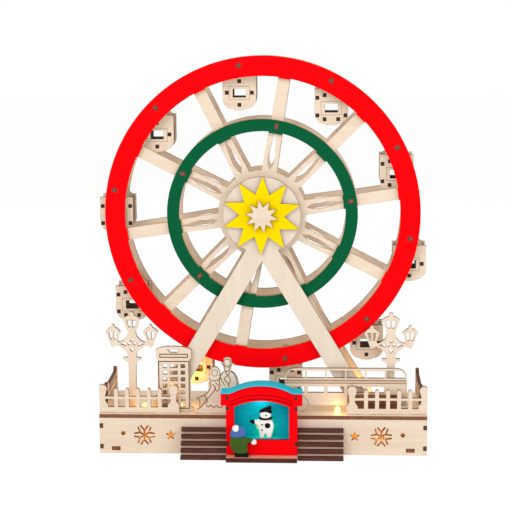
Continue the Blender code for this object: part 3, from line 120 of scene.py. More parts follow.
def set_stage():
    """Soft studio light, a white surround and a pale floor that keeps its shadow."""
    world = bpy.data.worlds.new("studio")
    world.use_nodes = True
    scene.world = world
    tree = world.node_tree
    tree.nodes.clear()
    out = tree.nodes.new("ShaderNodeOutputWorld")
    mix = tree.nodes.new("ShaderNodeMixShader")
    soft = tree.nodes.new("ShaderNodeBackground")
    soft.inputs["Color"].default_value = (1.0, 0.985, 0.965, 1.0)
    soft.inputs["Strength"].default_value = 0.66
    white = tree.nodes.new("ShaderNodeBackground")
    white.inputs["Strength"].default_value = 1.0
    white.inputs["Color"].default_value = (1.0, 1.0, 1.0, 1.0)
    path = tree.nodes.new("ShaderNodeLightPath")
    tree.links.new(path.outputs["Is Camera Ray"], mix.inputs[0])
    tree.links.new(soft.outputs[0], mix.inputs[1])
    tree.links.new(white.outputs[0], mix.inputs[2])
    tree.links.new(mix.outputs[0], out.inputs["Surface"])

    area("key", (-0.55, -1.10, 1.15), (0.0, 0.0, 0.17), 0.9, 8.0, (1.0, 0.99, 0.975))
    area("fill", (0.95, -0.80, 0.65), (0.0, 0.0, 0.17), 0.9, 3.8)
    area("rim", (0.25, 1.00, 0.90), (0.0, 0.0, 0.17), 0.8, 3.0)

    for name, place, energy in (("left", (-106.0, -12.7, 44.0), 0.005), ("phone", (-75.2, -5.6, 44.0), 0.007),
                                ("upper_panes", (-81.0, -12.0, 60.0), 0.0020),
                                ("lower_panes", (-75.0, -12.0, 51.0), 0.0020),
                                ("cabin", (-64.0, -6.0, 70.0), 0.014),
                                ("right", (66.4, -20.6, 43.0), 0.0014), ("rear", (84.0, 25.2, 44.0), 0.014),
                                ("foot", (74.0, 29.0, 48.0), 0.008)):
        point("glow_" + name, place, energy, (1.0, 0.52, 0.09))
    point("glow_kiosk", (1.5, -31.4, 27.0), 0.0030, (1.0, 0.84, 0.16), 0.001)
    point("kiosk_fill", (0.0, -38.0, 50.0), 0.005, (1.0, 0.98, 0.94), 0.005)
    for x in (-97.0, -58.0, 58.0, 97.0):
        point("base_glow", (x, 4.0, 17.0), 0.010, (1.0, 0.42, 0.08), 0.006)

    mesh = bpy.data.meshes.new("floor")
    work = bmesh.new()
    bmesh.ops.create_grid(work, x_segments=1, y_segments=1, size=4.0)
    work.to_mesh(mesh)
    work.free()
    floor = bpy.data.objects.new("floor", mesh)
    floor.location.z = -0.0001
    scene.collection.objects.link(floor)
    material = bpy.data.materials.new("floor")
    material.use_nodes = True
    tree = material.node_tree
    tree.nodes.clear()
    out = tree.nodes.new("ShaderNodeOutputMaterial")
    mix = tree.nodes.new("ShaderNodeMixShader")
    matt = tree.nodes.new("ShaderNodeBsdfDiffuse")
    matt.inputs["Color"].default_value = (0.94, 0.94, 0.94, 1.0)
    glow = tree.nodes.new("ShaderNodeEmission")
    glow.inputs["Strength"].default_value = 1.05
    path = tree.nodes.new("ShaderNodeLightPath")
    scale = tree.nodes.new("ShaderNodeMath")
    scale.operation = "MULTIPLY"
    scale.inputs[1].default_value = 0.84
    tree.links.new(path.outputs["Is Camera Ray"], scale.inputs[0])
    tree.links.new(scale.outputs[0], mix.inputs[0])
    tree.links.new(matt.outputs[0], mix.inputs[1])
    tree.links.new(glow.outputs[0], mix.inputs[2])
    tree.links.new(mix.outputs[0], out.inputs["Surface"])
    mesh.materials.append(material)
    scene.view_settings.view_transform = "Standard"


# Materials
def linear(r, g, b):
    """A display colour of 0 to 255 as a linear colour."""
    out = []
    for c in (r, g, b):
        c /= 255.0
        out.append(c / 12.92 if c <= 0.04045 else ((c + 0.055) / 1.055) ** 2.4)
    return (*out, 1.0)


class Shader:
    """A Principled material, built node by node."""

    def __init__(self, name):
        self.material = bpy.data.materials.new(name)
        self.material.use_nodes = True
        self.tree = self.material.node_tree
        self.bsdf = self.tree.nodes["Principled BSDF"]

    def node(self, kind, **settings):
        made = self.tree.nodes.new(kind)
        for key, value in settings.items():
            setattr(made, key, value)
        return made

    def link(self, a, b):
        self.tree.links.new(a, b)

    def math(self, operation, a, b=0.0, clamp=False):
        made = self.node("ShaderNodeMath", operation=operation, use_clamp=clamp)
        for socket, value in ((made.inputs[0], a), (made.inputs[1], b)):
            if isinstance(value, (int, float)):
                socket.default_value = value
            else:
                self.link(value, socket)
        return made.outputs[0]

    def coords(self, stretch=(1.0, 1.0, 1.0)):
        place = self.node("ShaderNodeTexCoord")
        scale = self.node("ShaderNodeVectorMath", operation="MULTIPLY")
        self.link(place.outputs["Object"], scale.inputs[0])
        scale.inputs[1].default_value = stretch
        return scale.outputs[0]

    def noise(self, vector, scale, detail=3.0, rough=0.55, distort=0.0):
        made = self.node("ShaderNodeTexNoise")
        made.inputs["Scale"].default_value = scale
        made.inputs["Detail"].default_value = detail
        made.inputs["Roughness"].default_value = rough
        made.inputs["Distortion"].default_value = distort
        self.link(vector, made.inputs["Vector"])
        return made.outputs["Fac"]

    def ramp(self, value, stops):
        made = self.node("ShaderNodeValToRGB")
        band = made.color_ramp
        while len(band.elements) < len(stops):
            band.elements.new(0.5)
        for element, (place, colour) in zip(band.elements, stops):
            element.position = place
            element.color = colour
        self.link(value, made.inputs[0])
        return made.outputs[0]

    def remap(self, value, low, high, to_low=0.0, to_high=1.0):
        made = self.node("ShaderNodeMapRange")
        made.inputs["From Min"].default_value = low
        made.inputs["From Max"].default_value = high
        made.inputs["To Min"].default_value = to_low
        made.inputs["To Max"].default_value = to_high
        self.link(value, made.inputs["Value"])
        return made.outputs[0]

    def mix(self, factor, a, b):
        made = self.node("ShaderNodeMix", data_type="RGBA")
        if isinstance(factor, (int, float)):
            made.inputs[0].default_value = factor
        else:
            self.link(factor, made.inputs[0])
        for socket, value in ((made.inputs[6], a), (made.inputs[7], b)):
            if isinstance(value, tuple):
                socket.default_value = value
            else:
                self.link(value, socket)
        return made.outputs[2]

    def along(self, axis):
        """How squarely the surface faces along an axis, 0 to 1."""
        place = self.node("ShaderNodeTexCoord")
        split = self.node("ShaderNodeSeparateXYZ")
        self.link(place.outputs["Normal"], split.inputs[0])
        return self.math("ABSOLUTE", split.outputs["XYZ".index(axis)])

    def part(self, axis, source="Object"):
        """One coordinate of the surface point, or of its normal."""
        place = self.node("ShaderNodeTexCoord")
        split = self.node("ShaderNodeSeparateXYZ")
        self.link(place.outputs[source], split.inputs[0])
        return split.outputs["XYZ".index(axis)]

    def edge(self, radius):
        """1 near a sharp edge and 0 away from it."""
        bevel = self.node("ShaderNodeBevel", samples=4)
        bevel.inputs["Radius"].default_value = radius
        plain = self.node("ShaderNodeNewGeometry")
        dot = self.node("ShaderNodeVectorMath", operation="DOT_PRODUCT")
        self.link(bevel.outputs[0], dot.inputs[0])
        self.link(plain.outputs["True Normal"], dot.inputs[1])
        return self.remap(dot.outputs["Value"], 0.995, 0.86)

    def bump(self, height, strength, distance):
        made = self.node("ShaderNodeBump")
        made.inputs["Strength"].default_value = strength
        made.inputs["Distance"].default_value = distance
        self.link(height, made.inputs["Height"])
        self.link(made.outputs[0], self.bsdf.inputs["Normal"])

    def finish(self, colour, rough):
        if isinstance(colour, tuple):
            self.bsdf.inputs["Base Color"].default_value = colour
        else:
            self.link(colour, self.bsdf.inputs["Base Color"])
        if isinstance(rough, (int, float)):
            self.bsdf.inputs["Roughness"].default_value = rough
        else:
            self.link(rough, self.bsdf.inputs["Roughness"])
        return self.material


STRETCH = {"X": (0.07, 1.0, 1.0), "Y": (1.0, 0.07, 1.0), "Z": (1.0, 1.0, 0.07)}
BIRCH = ((226, 204, 180), (235, 216, 194), (242, 226, 207))
EDGE = ((82, 50, 34), (130, 92, 64), (180, 142, 106))
WHEEL_EDGE = ((136, 96, 60), (198, 156, 110), (228, 190, 142))


def wood_face(s, grain, tones, seed=0.0):
    """Fine straight grain and slow tone changes of a veneer face."""
    base = s.coords(STRETCH[grain])
    moved = s.node("ShaderNodeVectorMath", operation="ADD")
    s.link(base, moved.inputs[0])
    moved.inputs[1].default_value = (seed, seed * 0.37, seed * 0.71)
    fine = s.noise(moved.outputs[0], 900.0, 5.0, 0.65, 0.4)
    broad = s.noise(moved.outputs[0], 110.0, 3.0, 0.5, 1.2)
    blend = s.math("ADD", s.math("MULTIPLY", fine, 0.55), s.math("MULTIPLY", broad, 0.45))
    low, mid, high = (linear(*t) for t in tones)
    return s.ramp(blend, [(0.30, low), (0.50, mid), (0.72, high)]), fine


def cut_edge(s, axis, tones=EDGE):
    """A laser-cut edge across a sheet: scorched, with thin plies."""
    across = s.noise(s.coords((1.0, 1.0, 1.0)), 260.0, 4.0, 0.7)
    ply = s.node("ShaderNodeTexWave", wave_type="BANDS", bands_direction=axis)
    s.link(s.coords((1.0, 1.0, 1.0)), ply.inputs["Vector"])
    ply.inputs["Scale"].default_value = 330.0
    ply.inputs["Distortion"].default_value = 1.5
    ply.inputs["Detail"].default_value = 2.0
    blend = s.math("ADD", s.math("MULTIPLY", across, 0.65), s.math("MULTIPLY", ply.outputs["Fac"], 0.35))
    low, mid, high = (linear(*t) for t in tones)
    return s.ramp(blend, [(0.28, low), (0.52, mid), (0.80, high)])


def plywood(name, axis="Y", grain="X", tones=BIRCH, edge=EDGE, seed=0.0, line=0.75):
    """Sheet wood whose faces look along an axis and whose other sides are laser cut."""
    s = Shader(name)
    face, fine = wood_face(s, grain, tones, seed)
    edge_darkening = s.edge(0.0005)
    face = s.mix(s.math("MULTIPLY", edge_darkening, line), face, linear(120, 76, 48))
    side = s.remap(s.along(axis), 0.80, 0.55)
    colour = s.mix(side, face, cut_edge(s, axis, edge))
    s.bump(fine, 0.25, 0.00005)
    s.bsdf.inputs["Specular IOR Level"].default_value = 0.25
    return s.finish(colour, s.remap(fine, 0.2, 0.8, 0.55, 0.70))


def painted(name, paint, axis="Y", grain="X", back=BIRCH, edge=EDGE, rough=0.55, both=False, line=0.35):
    """Sheet wood painted on its front face: a faint grain shows through the coat."""
    s = Shader(name)
    bare, fine = wood_face(s, grain, back)
    broad = s.noise(s.coords((1.0, 1.0, 1.0)), 34.0, 3.0, 0.6)
    blend = s.math("ADD", s.math("MULTIPLY", fine, 0.4), s.math("MULTIPLY", broad, 0.6))
    dark = tuple(c * 0.93 for c in linear(*paint)[:3]) + (1.0,)
    light = tuple(min(1.0, c * 1.05) for c in linear(*paint)[:3]) + (1.0,)
    coat = s.ramp(blend, [(0.30, dark), (0.52, linear(*paint)), (0.75, light)])
    # Dark line along the edges: laser scorch; where line is large, as on the sun, it is also painted shadow
    # along the edges.
    edge_darkening = s.edge(0.0003)
    coat = s.mix(s.math("MULTIPLY", edge_darkening, line), coat, tuple(c * 0.35 for c in dark[:3]) + (1.0,))
    if both:
        face = coat
    else:
        front = s.remap(s.part(axis, "Normal"), -0.3, 0.3)
        face = s.mix(front, coat, bare)
    side = s.remap(s.along(axis), 0.80, 0.55)
    colour = s.mix(side, face, cut_edge(s, axis, edge))
    s.bump(fine, 0.18, 0.00004)
    s.bsdf.inputs["Specular IOR Level"].default_value = 0.04
    return s.finish(colour, s.remap(fine, 0.2, 0.8, rough - 0.05, rough + 0.08))


def coated(name, paint, rough=0.4, grain="X"):
    """A solid coat of paint over wood on every side."""
    s = Shader(name)
    fine = s.noise(s.coords(STRETCH[grain]), 700.0, 4.0, 0.6, 0.3)
    broad = s.noise(s.coords((1.0, 1.0, 1.0)), 60.0, 3.0, 0.6)
    blend = s.math("ADD", s.math("MULTIPLY", fine, 0.5), s.math("MULTIPLY", broad, 0.5))
    dark = tuple(c * 0.80 for c in linear(*paint)[:3]) + (1.0,)
    light = tuple(min(1.0, c * 1.10 + 0.003) for c in linear(*paint)[:3]) + (1.0,)
    coat = s.ramp(blend, [(0.30, dark), (0.52, linear(*paint)), (0.75, light)])
    edge_darkening = s.edge(0.0003)
    coat = s.mix(s.math("MULTIPLY", edge_darkening, 0.25), coat, tuple(c * 0.3 for c in dark[:3]) + (1.0,))
    s.bump(fine, 0.15, 0.00004)
    s.bsdf.inputs["Specular IOR Level"].default_value = 0.05
    return s.finish(coat, s.remap(fine, 0.2, 0.8, rough - 0.05, rough + 0.08))


def step_wood(name):
    """Dark boards with a pale, deep-set strip between each two."""
    s = Shader(name)
    fine = s.noise(s.coords((0.05, 1.0, 1.0)), 1200.0, 5.0, 0.7, 0.6)
    dark, mid, worn = linear(40, 14, 10), linear(82, 34, 22), linear(130, 64, 42)
    board = s.ramp(fine, [(0.30, dark), (0.52, mid), (0.75, worn)])
    pale, _ = wood_face(s, "X", ((222, 184, 160), (238, 206, 182), (246, 220, 198)))
    z = s.part("Z")
    turn = s.math("MODULO", z, 5.4 * MM)
    gap = s.math("GREATER_THAN", turn, 3.22 * MM)
    gap = s.math("MULTIPLY", gap, s.math("LESS_THAN", s.along("Z"), 0.5))
    colour = s.mix(gap, board, pale)
    s.bump(fine, 0.3, 0.00006)
    return s.finish(colour, 0.62)


def burnt_line(name="burnt_line", tones=((70, 38, 24), (120, 78, 52), (168, 124, 90))):
    """Engraved line: scorched brown that comes and goes a little."""
    s = Shader(name)
    blotch = s.noise(s.coords((1.0, 1.0, 1.0)), 700.0, 4.0, 0.7)
    low, mid, high = (linear(*t) for t in tones)
    colour = s.ramp(blotch, [(0.30, low), (0.55, mid), (0.80, high)])
    return s.finish(colour, 0.8)


def char_end(name="char_end", tones=((40, 24, 14), (76, 54, 38), (124, 96, 70))):
    """The end of a tab: dark scorched end grain with a paler ply through it."""
    s = Shader(name)
    ply = s.node("ShaderNodeTexWave", wave_type="BANDS", bands_direction="X")
    s.link(s.coords((1.0, 1.0, 1.0)), ply.inputs["Vector"])
    ply.inputs["Scale"].default_value = 300.0
    ply.inputs["Distortion"].default_value = 2.0
    blotch = s.noise(s.coords((1.0, 1.0, 1.0)), 900.0, 3.0, 0.7)
    blend = s.math("ADD", s.math("MULTIPLY", ply.outputs["Fac"], 0.5), s.math("MULTIPLY", blotch, 0.5))
    low, mid, high = (linear(*t) for t in tones)
    colour = s.ramp(blend, [(0.25, low), (0.55, mid), (0.85, high)])
    return s.finish(colour, 0.75)


def glowing(name, colour, strength):
    """A lit lens with a faintly speckled tint."""
    s = Shader(name)
    speck = s.noise(s.coords((1.0, 1.0, 1.0)), 400.0, 2.0, 0.5)
    tint = s.ramp(speck, [(0.3, tuple(c * 0.9 for c in colour[:3]) + (1.0,)), (0.7, colour)])
    s.link(tint, s.bsdf.inputs["Emission Color"])
    s.bsdf.inputs["Emission Strength"].default_value = strength
    return s.finish(tint, 0.2)


def plain_solid(name, colour, rough, metallic=0.0, scale=500.0):
    """Plastic or metal with a slight mottle in tone and gloss."""
    s = Shader(name)
    mottle = s.noise(s.coords((1.0, 1.0, 1.0)), scale, 4.0, 0.6)
    dark = tuple(c * 0.82 for c in colour[:3]) + (1.0,)
    tint = s.ramp(mottle, [(0.35, dark), (0.65, colour)])
    s.bsdf.inputs["Metallic"].default_value = metallic
    s.bump(mottle, 0.1, 0.00003)
    return s.finish(tint, s.remap(mottle, 0.3, 0.7, rough - 0.06, rough + 0.06))


def paint_nodes(names, material):
    """Give CAD nodes a material in all their slots."""
    for name in names:
        mesh = NODES[name].data
        if not mesh.materials:
            mesh.materials.append(material)
        for i in range(len(mesh.materials)):
            mesh.materials[i] = material


set_camera()
set_stage()

DARK_EDGE = ((52, 26, 18), (92, 56, 38), (150, 108, 78))
birch_front = plywood("birch_front")
birch_up = plywood("birch_up", grain="Z", seed=3.0)
birch_side = plywood("birch_side", axis="X", grain="Y", seed=5.0, edge=DARK_EDGE)
birch_deck = plywood("birch_deck", axis="Z", grain="X", seed=7.0,
                     tones=((222, 200, 170), (238, 220, 194), (247, 233, 212)),
                     edge=((92, 46, 30), (134, 80, 54), (178, 122, 90)))
burnt = burnt_line()
char = char_end()
char_dark = char_end("tab_end", ((24, 6, 2), (52, 18, 10), (92, 44, 28)))
rust = char_end("cross_bar_end", ((74, 22, 12), (118, 50, 34), (160, 92, 72)))
pale_ply = char_end("end_ply", ((104, 74, 56), (140, 106, 84), (176, 140, 116)))
etched = burnt_line("etched_line", ((150, 124, 98), (182, 154, 126), (204, 178, 150)))
etched_dark = burnt_line("etched_dark", ((126, 94, 68), (160, 126, 96), (190, 158, 128)))
birch_wheel = plywood("birch_wheel", seed=11.0, edge=WHEEL_EDGE, line=0.6)
birch_star = plywood("birch_star", seed=13.0, line=0.8)
birch_frame = plywood("birch_frame", grain="Z", seed=17.0,
                      tones=((225, 209, 190), (232, 217, 199), (238, 225, 209)),
                      edge=((96, 66, 48), (150, 114, 86), (190, 154, 120)))
birch_cabin = plywood("birch_cabin", seed=19.0, line=0.6)
birch_bar = plywood("birch_bar", grain="Y", seed=23.0)
rim_paint = painted("rim_paint", (255, 0, 9), edge=WHEEL_EDGE)
ring_paint = painted("ring_paint", (6, 92, 56), edge=WHEEL_EDGE)
# The sun's strong dark contour is laser scorch and painted shadow along its edges.
sun_paint = painted("sun_paint", (255, 221, 0), line=0.8)
lens = glowing("lit_lens", linear(255, 214, 100), 5.0)
dim_lens = glowing("dim_lens", linear(214, 120, 34), 0.5)

paint_nodes(NODES, birch_front)
paint_nodes(["left_panel", "right_panel", "side_fence_left", "side_fence_right"], birch_side)
paint_nodes(["deck", "bottom_board"], birch_deck)
paint_nodes(["lamp_post_left", "lamp_post_right", "phone_box"], birch_up)
kiosk_paint = painted("kiosk_paint", (252, 0, 12), edge=((90, 6, 8), (150, 12, 14), (190, 20, 20)), both=True)
wall_paint = coated("wall_paint", (225, 6, 14))
roof_paint = coated("roof_paint", (10, 198, 224))
inside_paint = coated("inside_paint", (4, 184, 206))
paint_nodes(["kiosk_counter"], inside_paint)
paint_nodes(["steps_left", "steps_right"], step_wood("step_wood"))
paint_nodes(["kiosk_floor"], plywood("kiosk_floor_wood", axis="Z", seed=37.0,
                                     tones=((206, 142, 120), (222, 160, 138), (234, 178, 156)),
                                     edge=((44, 18, 12), (76, 34, 24), (116, 62, 44))))
paint_nodes([n for n in NODES if n.startswith("led_")], lens)
paint_nodes(["led_panel_left", "led_panel_right"], dim_lens)
paint_nodes(["led_kiosk"], glowing("kiosk_lens", linear(150, 200, 130), 0.5))
paint_nodes([n for n in NODES if n.startswith("lead_")],
            plain_solid("lead_skin", linear(120, 30, 24), 0.4))
paint_nodes(["battery_box", "battery_lid", "switch_knob"],
            plain_solid("black_plastic", linear(34, 34, 36), 0.5))
paint_nodes(["battery_cell_1", "battery_cell_2"],
            plain_solid("cell_steel", linear(180, 180, 184), 0.35, 0.85))


# Pieces
def keep(name, mesh, material, body="base", slot=None, replaces=()):
    """Put a mesh in the scene as a piece that rides on a body."""
    mesh.materials.clear()
    mesh.materials.append(material)
    piece = bpy.data.objects.new(name, mesh)
    scene.collection.objects.link(piece)
    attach(piece, body)
    if replaces:
        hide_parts(*replaces)
    return piece


def smooth(points, steps=4, closed=True):
    """Points along a Catmull-Rom curve through the given points."""
    count = len(points)
    out = []
    for i in range(count if closed else count - 1):
        if closed:
            a, b, c, d = (points[(i + k) % count] for k in (-1, 0, 1, 2))
        else:
            a, b, c, d = points[max(i - 1, 0)], points[i], points[i + 1], points[min(i + 2, count - 1)]
        for k in range(steps):
            t = k / steps
            out.append(tuple(0.5 * (2 * q + (r - p) * t + (2 * p - 5 * q + 4 * r - s) * t * t
                                    + (3 * q - p - 3 * r + s) * t ** 3) for p, q, r, s in zip(a, b, c, d)))
    return out if closed else out + [points[-1]]


def ring_of(x, z, radius_x, radius_z=None, count=24):
    """Points round an ellipse in the front plane."""
    radius_z = radius_z or radius_x
    return [(x + radius_x * math.cos(math.tau * i / count),
             z + radius_z * math.sin(math.tau * i / count)) for i in range(count)]


def plaque(name, outline, front, thickness, bevel, material, holes=(), **how):
    """A flat shape, with rounded edges or holes, its front face at a depth; all in millimetres."""
    curve = bpy.data.curves.new(name, "CURVE")
    curve.dimensions = "2D"
    curve.fill_mode = "BOTH"
    curve.extrude = thickness / 2 - bevel
    curve.bevel_depth = bevel
    curve.bevel_resolution = 3
    curve.offset = -bevel
    for loop in [outline, *holes]:
        spline = curve.splines.new("POLY")
        spline.points.add(len(loop) - 1)
        for corner, (x, z) in zip(spline.points, loop):
            corner.co = (x, z, 0.0, 1.0)
        spline.use_cyclic_u = True
    holder = bpy.data.objects.new(name, curve)
    scene.collection.objects.link(holder)
    bpy.context.view_layer.update()
    mesh = bpy.data.meshes.new_from_object(holder.evaluated_get(bpy.context.evaluated_depsgraph_get()))
    bpy.data.objects.remove(holder, do_unlink=True)
    bpy.data.curves.remove(curve)
    turn = Matrix(((MM, 0, 0, 0), (0, 0, -MM, (front + thickness / 2) * MM), (0, MM, 0, 0), (0, 0, 0, 1)))
    mesh.transform(turn)
    work = bmesh.new()
    work.from_mesh(mesh)
    bmesh.ops.remove_doubles(work, verts=work.verts, dist=1e-6)
    bmesh.ops.recalc_face_normals(work, faces=work.faces)
    for face in work.faces:
        face.smooth = True
    work.to_mesh(mesh)
    work.free()
    if not bevel:
        mesh.set_sharp_from_angle(angle=math.radians(32.0))
    mesh.name = name
    return keep(name, mesh, material, **how)


def strip_points(path, width, closed):
    """Left and right sides of a line of a width, mitred at its corners."""
    count = len(path)
    sides = []
    for i, (x, z) in enumerate(path):
        before = path[(i - 1) % count] if closed or i else None
        after = path[(i + 1) % count] if closed or i < count - 1 else None
        ways = []
        for a, b in ((before, (x, z)), ((x, z), after)):
            if a is not None and b is not None:
                dx, dz = b[0] - a[0], b[1] - a[1]
                size = math.hypot(dx, dz) or 1.0
                ways.append((dx / size, dz / size))
        tx, tz = (sum(w[0] for w in ways), sum(w[1] for w in ways))
        size = math.hypot(tx, tz) or 1.0
        tx, tz = tx / size, tz / size
        lean = max(0.5, tx * ways[0][0] + tz * ways[0][1])
        half = width / 2 / lean
        sides.append(((x - tz * half, z + tx * half), (x + tz * half, z - tx * half)))
    return sides


def engraved(name, lines, front, material, body="base", proud=0.05, slot="birch_plywood"):
    """Thin dark lines on a face that looks to the front; each is (path, width, closed)."""
    work = bmesh.new()
    for path, width, closed in lines:
        sides = strip_points(path, width, closed)
        rows = []
        for left, right in sides:
            rows.append([work.verts.new((x * MM, (front + y) * MM, z * MM))
                         for (x, z), y in ((left, -proud), (right, -proud), (right, 0.0), (left, 0.0))])
        spans = list(zip(rows, rows[1:]))
        if closed:
            spans.append((rows[-1], rows[0]))
        else:
            work.faces.new(rows[0])
            work.faces.new(list(reversed(rows[-1])))
        for a, b in spans:
            for k in range(4):
                work.faces.new((a[k], b[k], b[(k + 1) % 4], a[(k + 1) % 4]))
    bmesh.ops.recalc_face_normals(work, faces=work.faces)
    mesh = bpy.data.meshes.new(name)
    work.to_mesh(mesh)
    work.free()
    return keep(name, mesh, material, body=body, slot=slot)


def tiles(name, shapes, front, material, body="base", proud=0.08, slot="birch_plywood"):
    """Thin flat patches on a face that looks to the front, such as the scorched ends of tabs."""
    work = bmesh.new()
    for shape in shapes:
        near, far = ([work.verts.new((x * MM, y * MM, z * MM)) for x, z in shape]
                     for y in (front - proud, front))
        work.faces.new(near)
        work.faces.new(far)
        for k in range(len(shape)):
            work.faces.new((near[k], near[k - 1], far[k - 1], far[k]))
    bmesh.ops.recalc_face_normals(work, faces=work.faces)
    mesh = bpy.data.meshes.new(name)
    work.to_mesh(mesh)
    work.free()
    return keep(name, mesh, material, body=body, slot=slot)


def square(x, z, width, height):
    """Corners of a rectangle about a centre."""
    return [(x - width / 2, z - height / 2), (x + width / 2, z - height / 2),
            (x + width / 2, z + height / 2), (x - width / 2, z + height / 2)]


def turned(loop, angle):
    """A loop turned about the axle's line."""
    c, s = math.cos(angle), math.sin(angle)
    return [(x * c - z * s, x * s + z * c) for x, z in loop]


def shifted(loop, x, z):
    """A loop moved in the front plane."""
    return [(px + x, pz + z) for px, pz in loop]


def arc(radius, start, end, count):
    """Points of an arc about the origin, both ends included."""
    return [(radius * math.cos(start + (end - start) * i / count),
             radius * math.sin(start + (end - start) * i / count)) for i in range(count + 1)]


def star(tip, valley, phase):
    """A ten-pointed star about the axle."""
    points = []
    for i in range(20):
        radius = valley if i % 2 else tip
        points.append((radius * math.cos(phase + i * PITCH / 2), radius * math.sin(phase + i * PITCH / 2)))
    return shifted(points, 0.0, AXLE)


def bay(inner, outer, inner_width, outer_width, spoke):
    """The opening between a spoke and the next, between two radii."""
    near, far = math.asin(inner_width / 2 / inner), math.asin(outer_width / 2 / outer)
    loop = arc(inner, near, PITCH - near, 10) + arc(outer, PITCH - far, far, 16)
    return shifted(turned(loop, spoke), 0.0, AXLE)


def padded_circle(radius, pad, width):
    """The inner line of a ring, with a shallow pad behind each spoke."""
    half = math.asin(width / 2 / radius)
    loop = []
    for spoke in SPOKES:
        loop += arc(radius - pad, spoke - half, spoke + half, 2)
        loop += arc(radius, spoke + half, spoke + PITCH - half, 16)
    return shifted(loop, 0.0, AXLE)


def dress_wheel():
    """Round, finely cut copies of the wheel's plates, its rim, its ring and the two stars."""
    holes = [ring_of(0.0, AXLE, BORE_RADIUS, count=28)]
    for spoke in SPOKES:
        holes.append(bay(RING_OUTER, 122.2, 10.4, 10.4, spoke))
        holes.append(bay(HUB_RADIUS, 73.3, 13.2, 12.0, spoke))
        lancet = smooth([(71.6, 0.0), (62.0, 1.9), (50.0, 3.0), (43.5, 1.9)], 3, False)
        lancet += [(39.8, 0.0)] + [(x, -z) for x, z in reversed(lancet[1:])]
        holes.append(shifted(turned(lancet, spoke), 0.0, AXLE))
    edge = ring_of(0.0, AXLE, 136.5, count=200)
    plaque("wheel_front_plate", edge, WHEEL_FRONT_Y, PLY, 0.0, birch_wheel, holes, body="wheel",
           slot="birch_plywood", replaces=["wheel_front"])
    plaque("wheel_rear_plate", edge, WHEEL_REAR_Y, PLY, 0.0, birch_wheel, holes, body="wheel",
           slot="birch_plywood", replaces=["wheel_rear"])
    plaque("rim_ring", ring_of(0.0, AXLE, 138.2, count=200), RING_Y, PLY, 0.0, rim_paint,
           [padded_circle(120.6, 0.9, 10.4)], body="wheel", slot="red_paint", replaces=["rim_red"])
    plaque("middle_ring", ring_of(0.0, AXLE, RING_OUTER, count=140), RING_Y, PLY, 0.0, ring_paint,
           [padded_circle(RING_INNER, 1.3, 12.0)], body="wheel", slot="green_paint", replaces=["ring_green"])
    plaque("sun", star(34.7, 19.4, math.radians(88.2)), SUN_Y, PLY, 0.0, sun_paint,
           [ring_of(0.0, AXLE, BORE_RADIUS, count=28)], slot="yellow_paint", replaces=["sun_star"])
    plaque("small_star", star(14.5, 8.0, SPOKES[0] + PITCH / 2), STAR_Y, PLY, 0.0, birch_star,
           body="wheel", slot="birch_plywood", replaces=["hub_star"])
    for name, places, radius, size in (("cabin_bar", [a + PITCH / 2 for a in SPOKES], CABIN_BAR_RADIUS, 4.2),
                                       ("cross_bar", SPOKES[::2], CROSS_BAR_RADIUS, 5.0)):
        for number, angle in enumerate(places):
            end = shifted(turned(square(radius, 0.0, size, PLY), angle), 0.0, AXLE)
            plaque(f"{name}_{number + 1:02d}", end, RING_Y - 0.1, 37.8, 0.0, birch_bar, body="wheel",
                   slot="birch_plywood")
    for name, places, radius, size, tint in (
            ("cabin_bar_ends", [a + PITCH / 2 for a in SPOKES], CABIN_BAR_RADIUS, 4.6, char),
            ("cross_bar_ends", SPOKES[::2], CROSS_BAR_RADIUS, 5.2, rust)):
        tiles(name, [shifted(turned(square(radius, 0.0, size, 3.4), a), 0.0, AXLE) for a in places], RING_Y,
              tint, body="wheel", proud=0.2)
        tiles(name + "_middle", [shifted(turned(square(radius + 0.2, 0.0, size * 0.4, 1.3), a), 0.0, AXLE)
                                 for a in places], RING_Y - 0.2, pale_ply, body="wheel")


def frame_outline():
    """An A-frame: a round head on two legs that meet in a crotch; its feet go through the deck."""
    drop, middle, width, crotch, head = AXLE - DECK - 0.3, 145.0 - 53.8, 17.1, 40.6, 33.8
    fall = drop - crotch
    tilt = math.acos(width / 2 / math.hypot(middle, fall)) - math.atan2(fall, middle)
    slope, across = math.tan(tilt), width / math.cos(tilt)
    inner = middle - across / 2
    offset = across - crotch * slope
    a, b, c = 1 + slope ** 2, 2 * slope * offset, offset ** 2 - head ** 2
    meet = (-b + math.sqrt(b ** 2 - 4 * a * c)) / (2 * a)
    start = math.atan2(-meet, offset + slope * meet)
    foot = [(inner, -drop), (middle - 6.0, -drop), (middle - 6.0, -drop - 3.3), (middle + 6.0, -drop - 3.3),
            (middle + 6.0, -drop), (inner + across, -drop)]
    right = foot + arc(head, start, math.pi / 2, 32)
    left = [(-x, z) for x, z in reversed(right[:-1])]
    return shifted([(0.0, -crotch)] + right + left, 0.0, AXLE)


def dress_frames():
    """The two A-frames."""
    for name, front in (("frame_front", FRAME_FRONT_Y), ("frame_rear", FRAME_REAR_Y)):
        plaque(name + "_plate", frame_outline(), front, PLY, 0.0, birch_frame,
               [ring_of(0.0, AXLE, BORE_RADIUS, count=28)], slot="birch_plywood", replaces=[name])


def cabin_outline(inset, steps=8):
    """A cabin's face about its bar, inset all round."""
    half, top, low, radius = 14.65 - inset, -7.3 - inset, -38.0 + inset, 9.2 - inset
    corner = [(half - radius + x, low + radius + z) for x, z in arc(radius, 0.0, -math.pi / 2, steps)]
    right = [(half, top)] + corner + [(half / 3, low - 0.9)]
    return right + [(0.0, low - 1.2)] + [(-x, z) for x, z in reversed(right)]


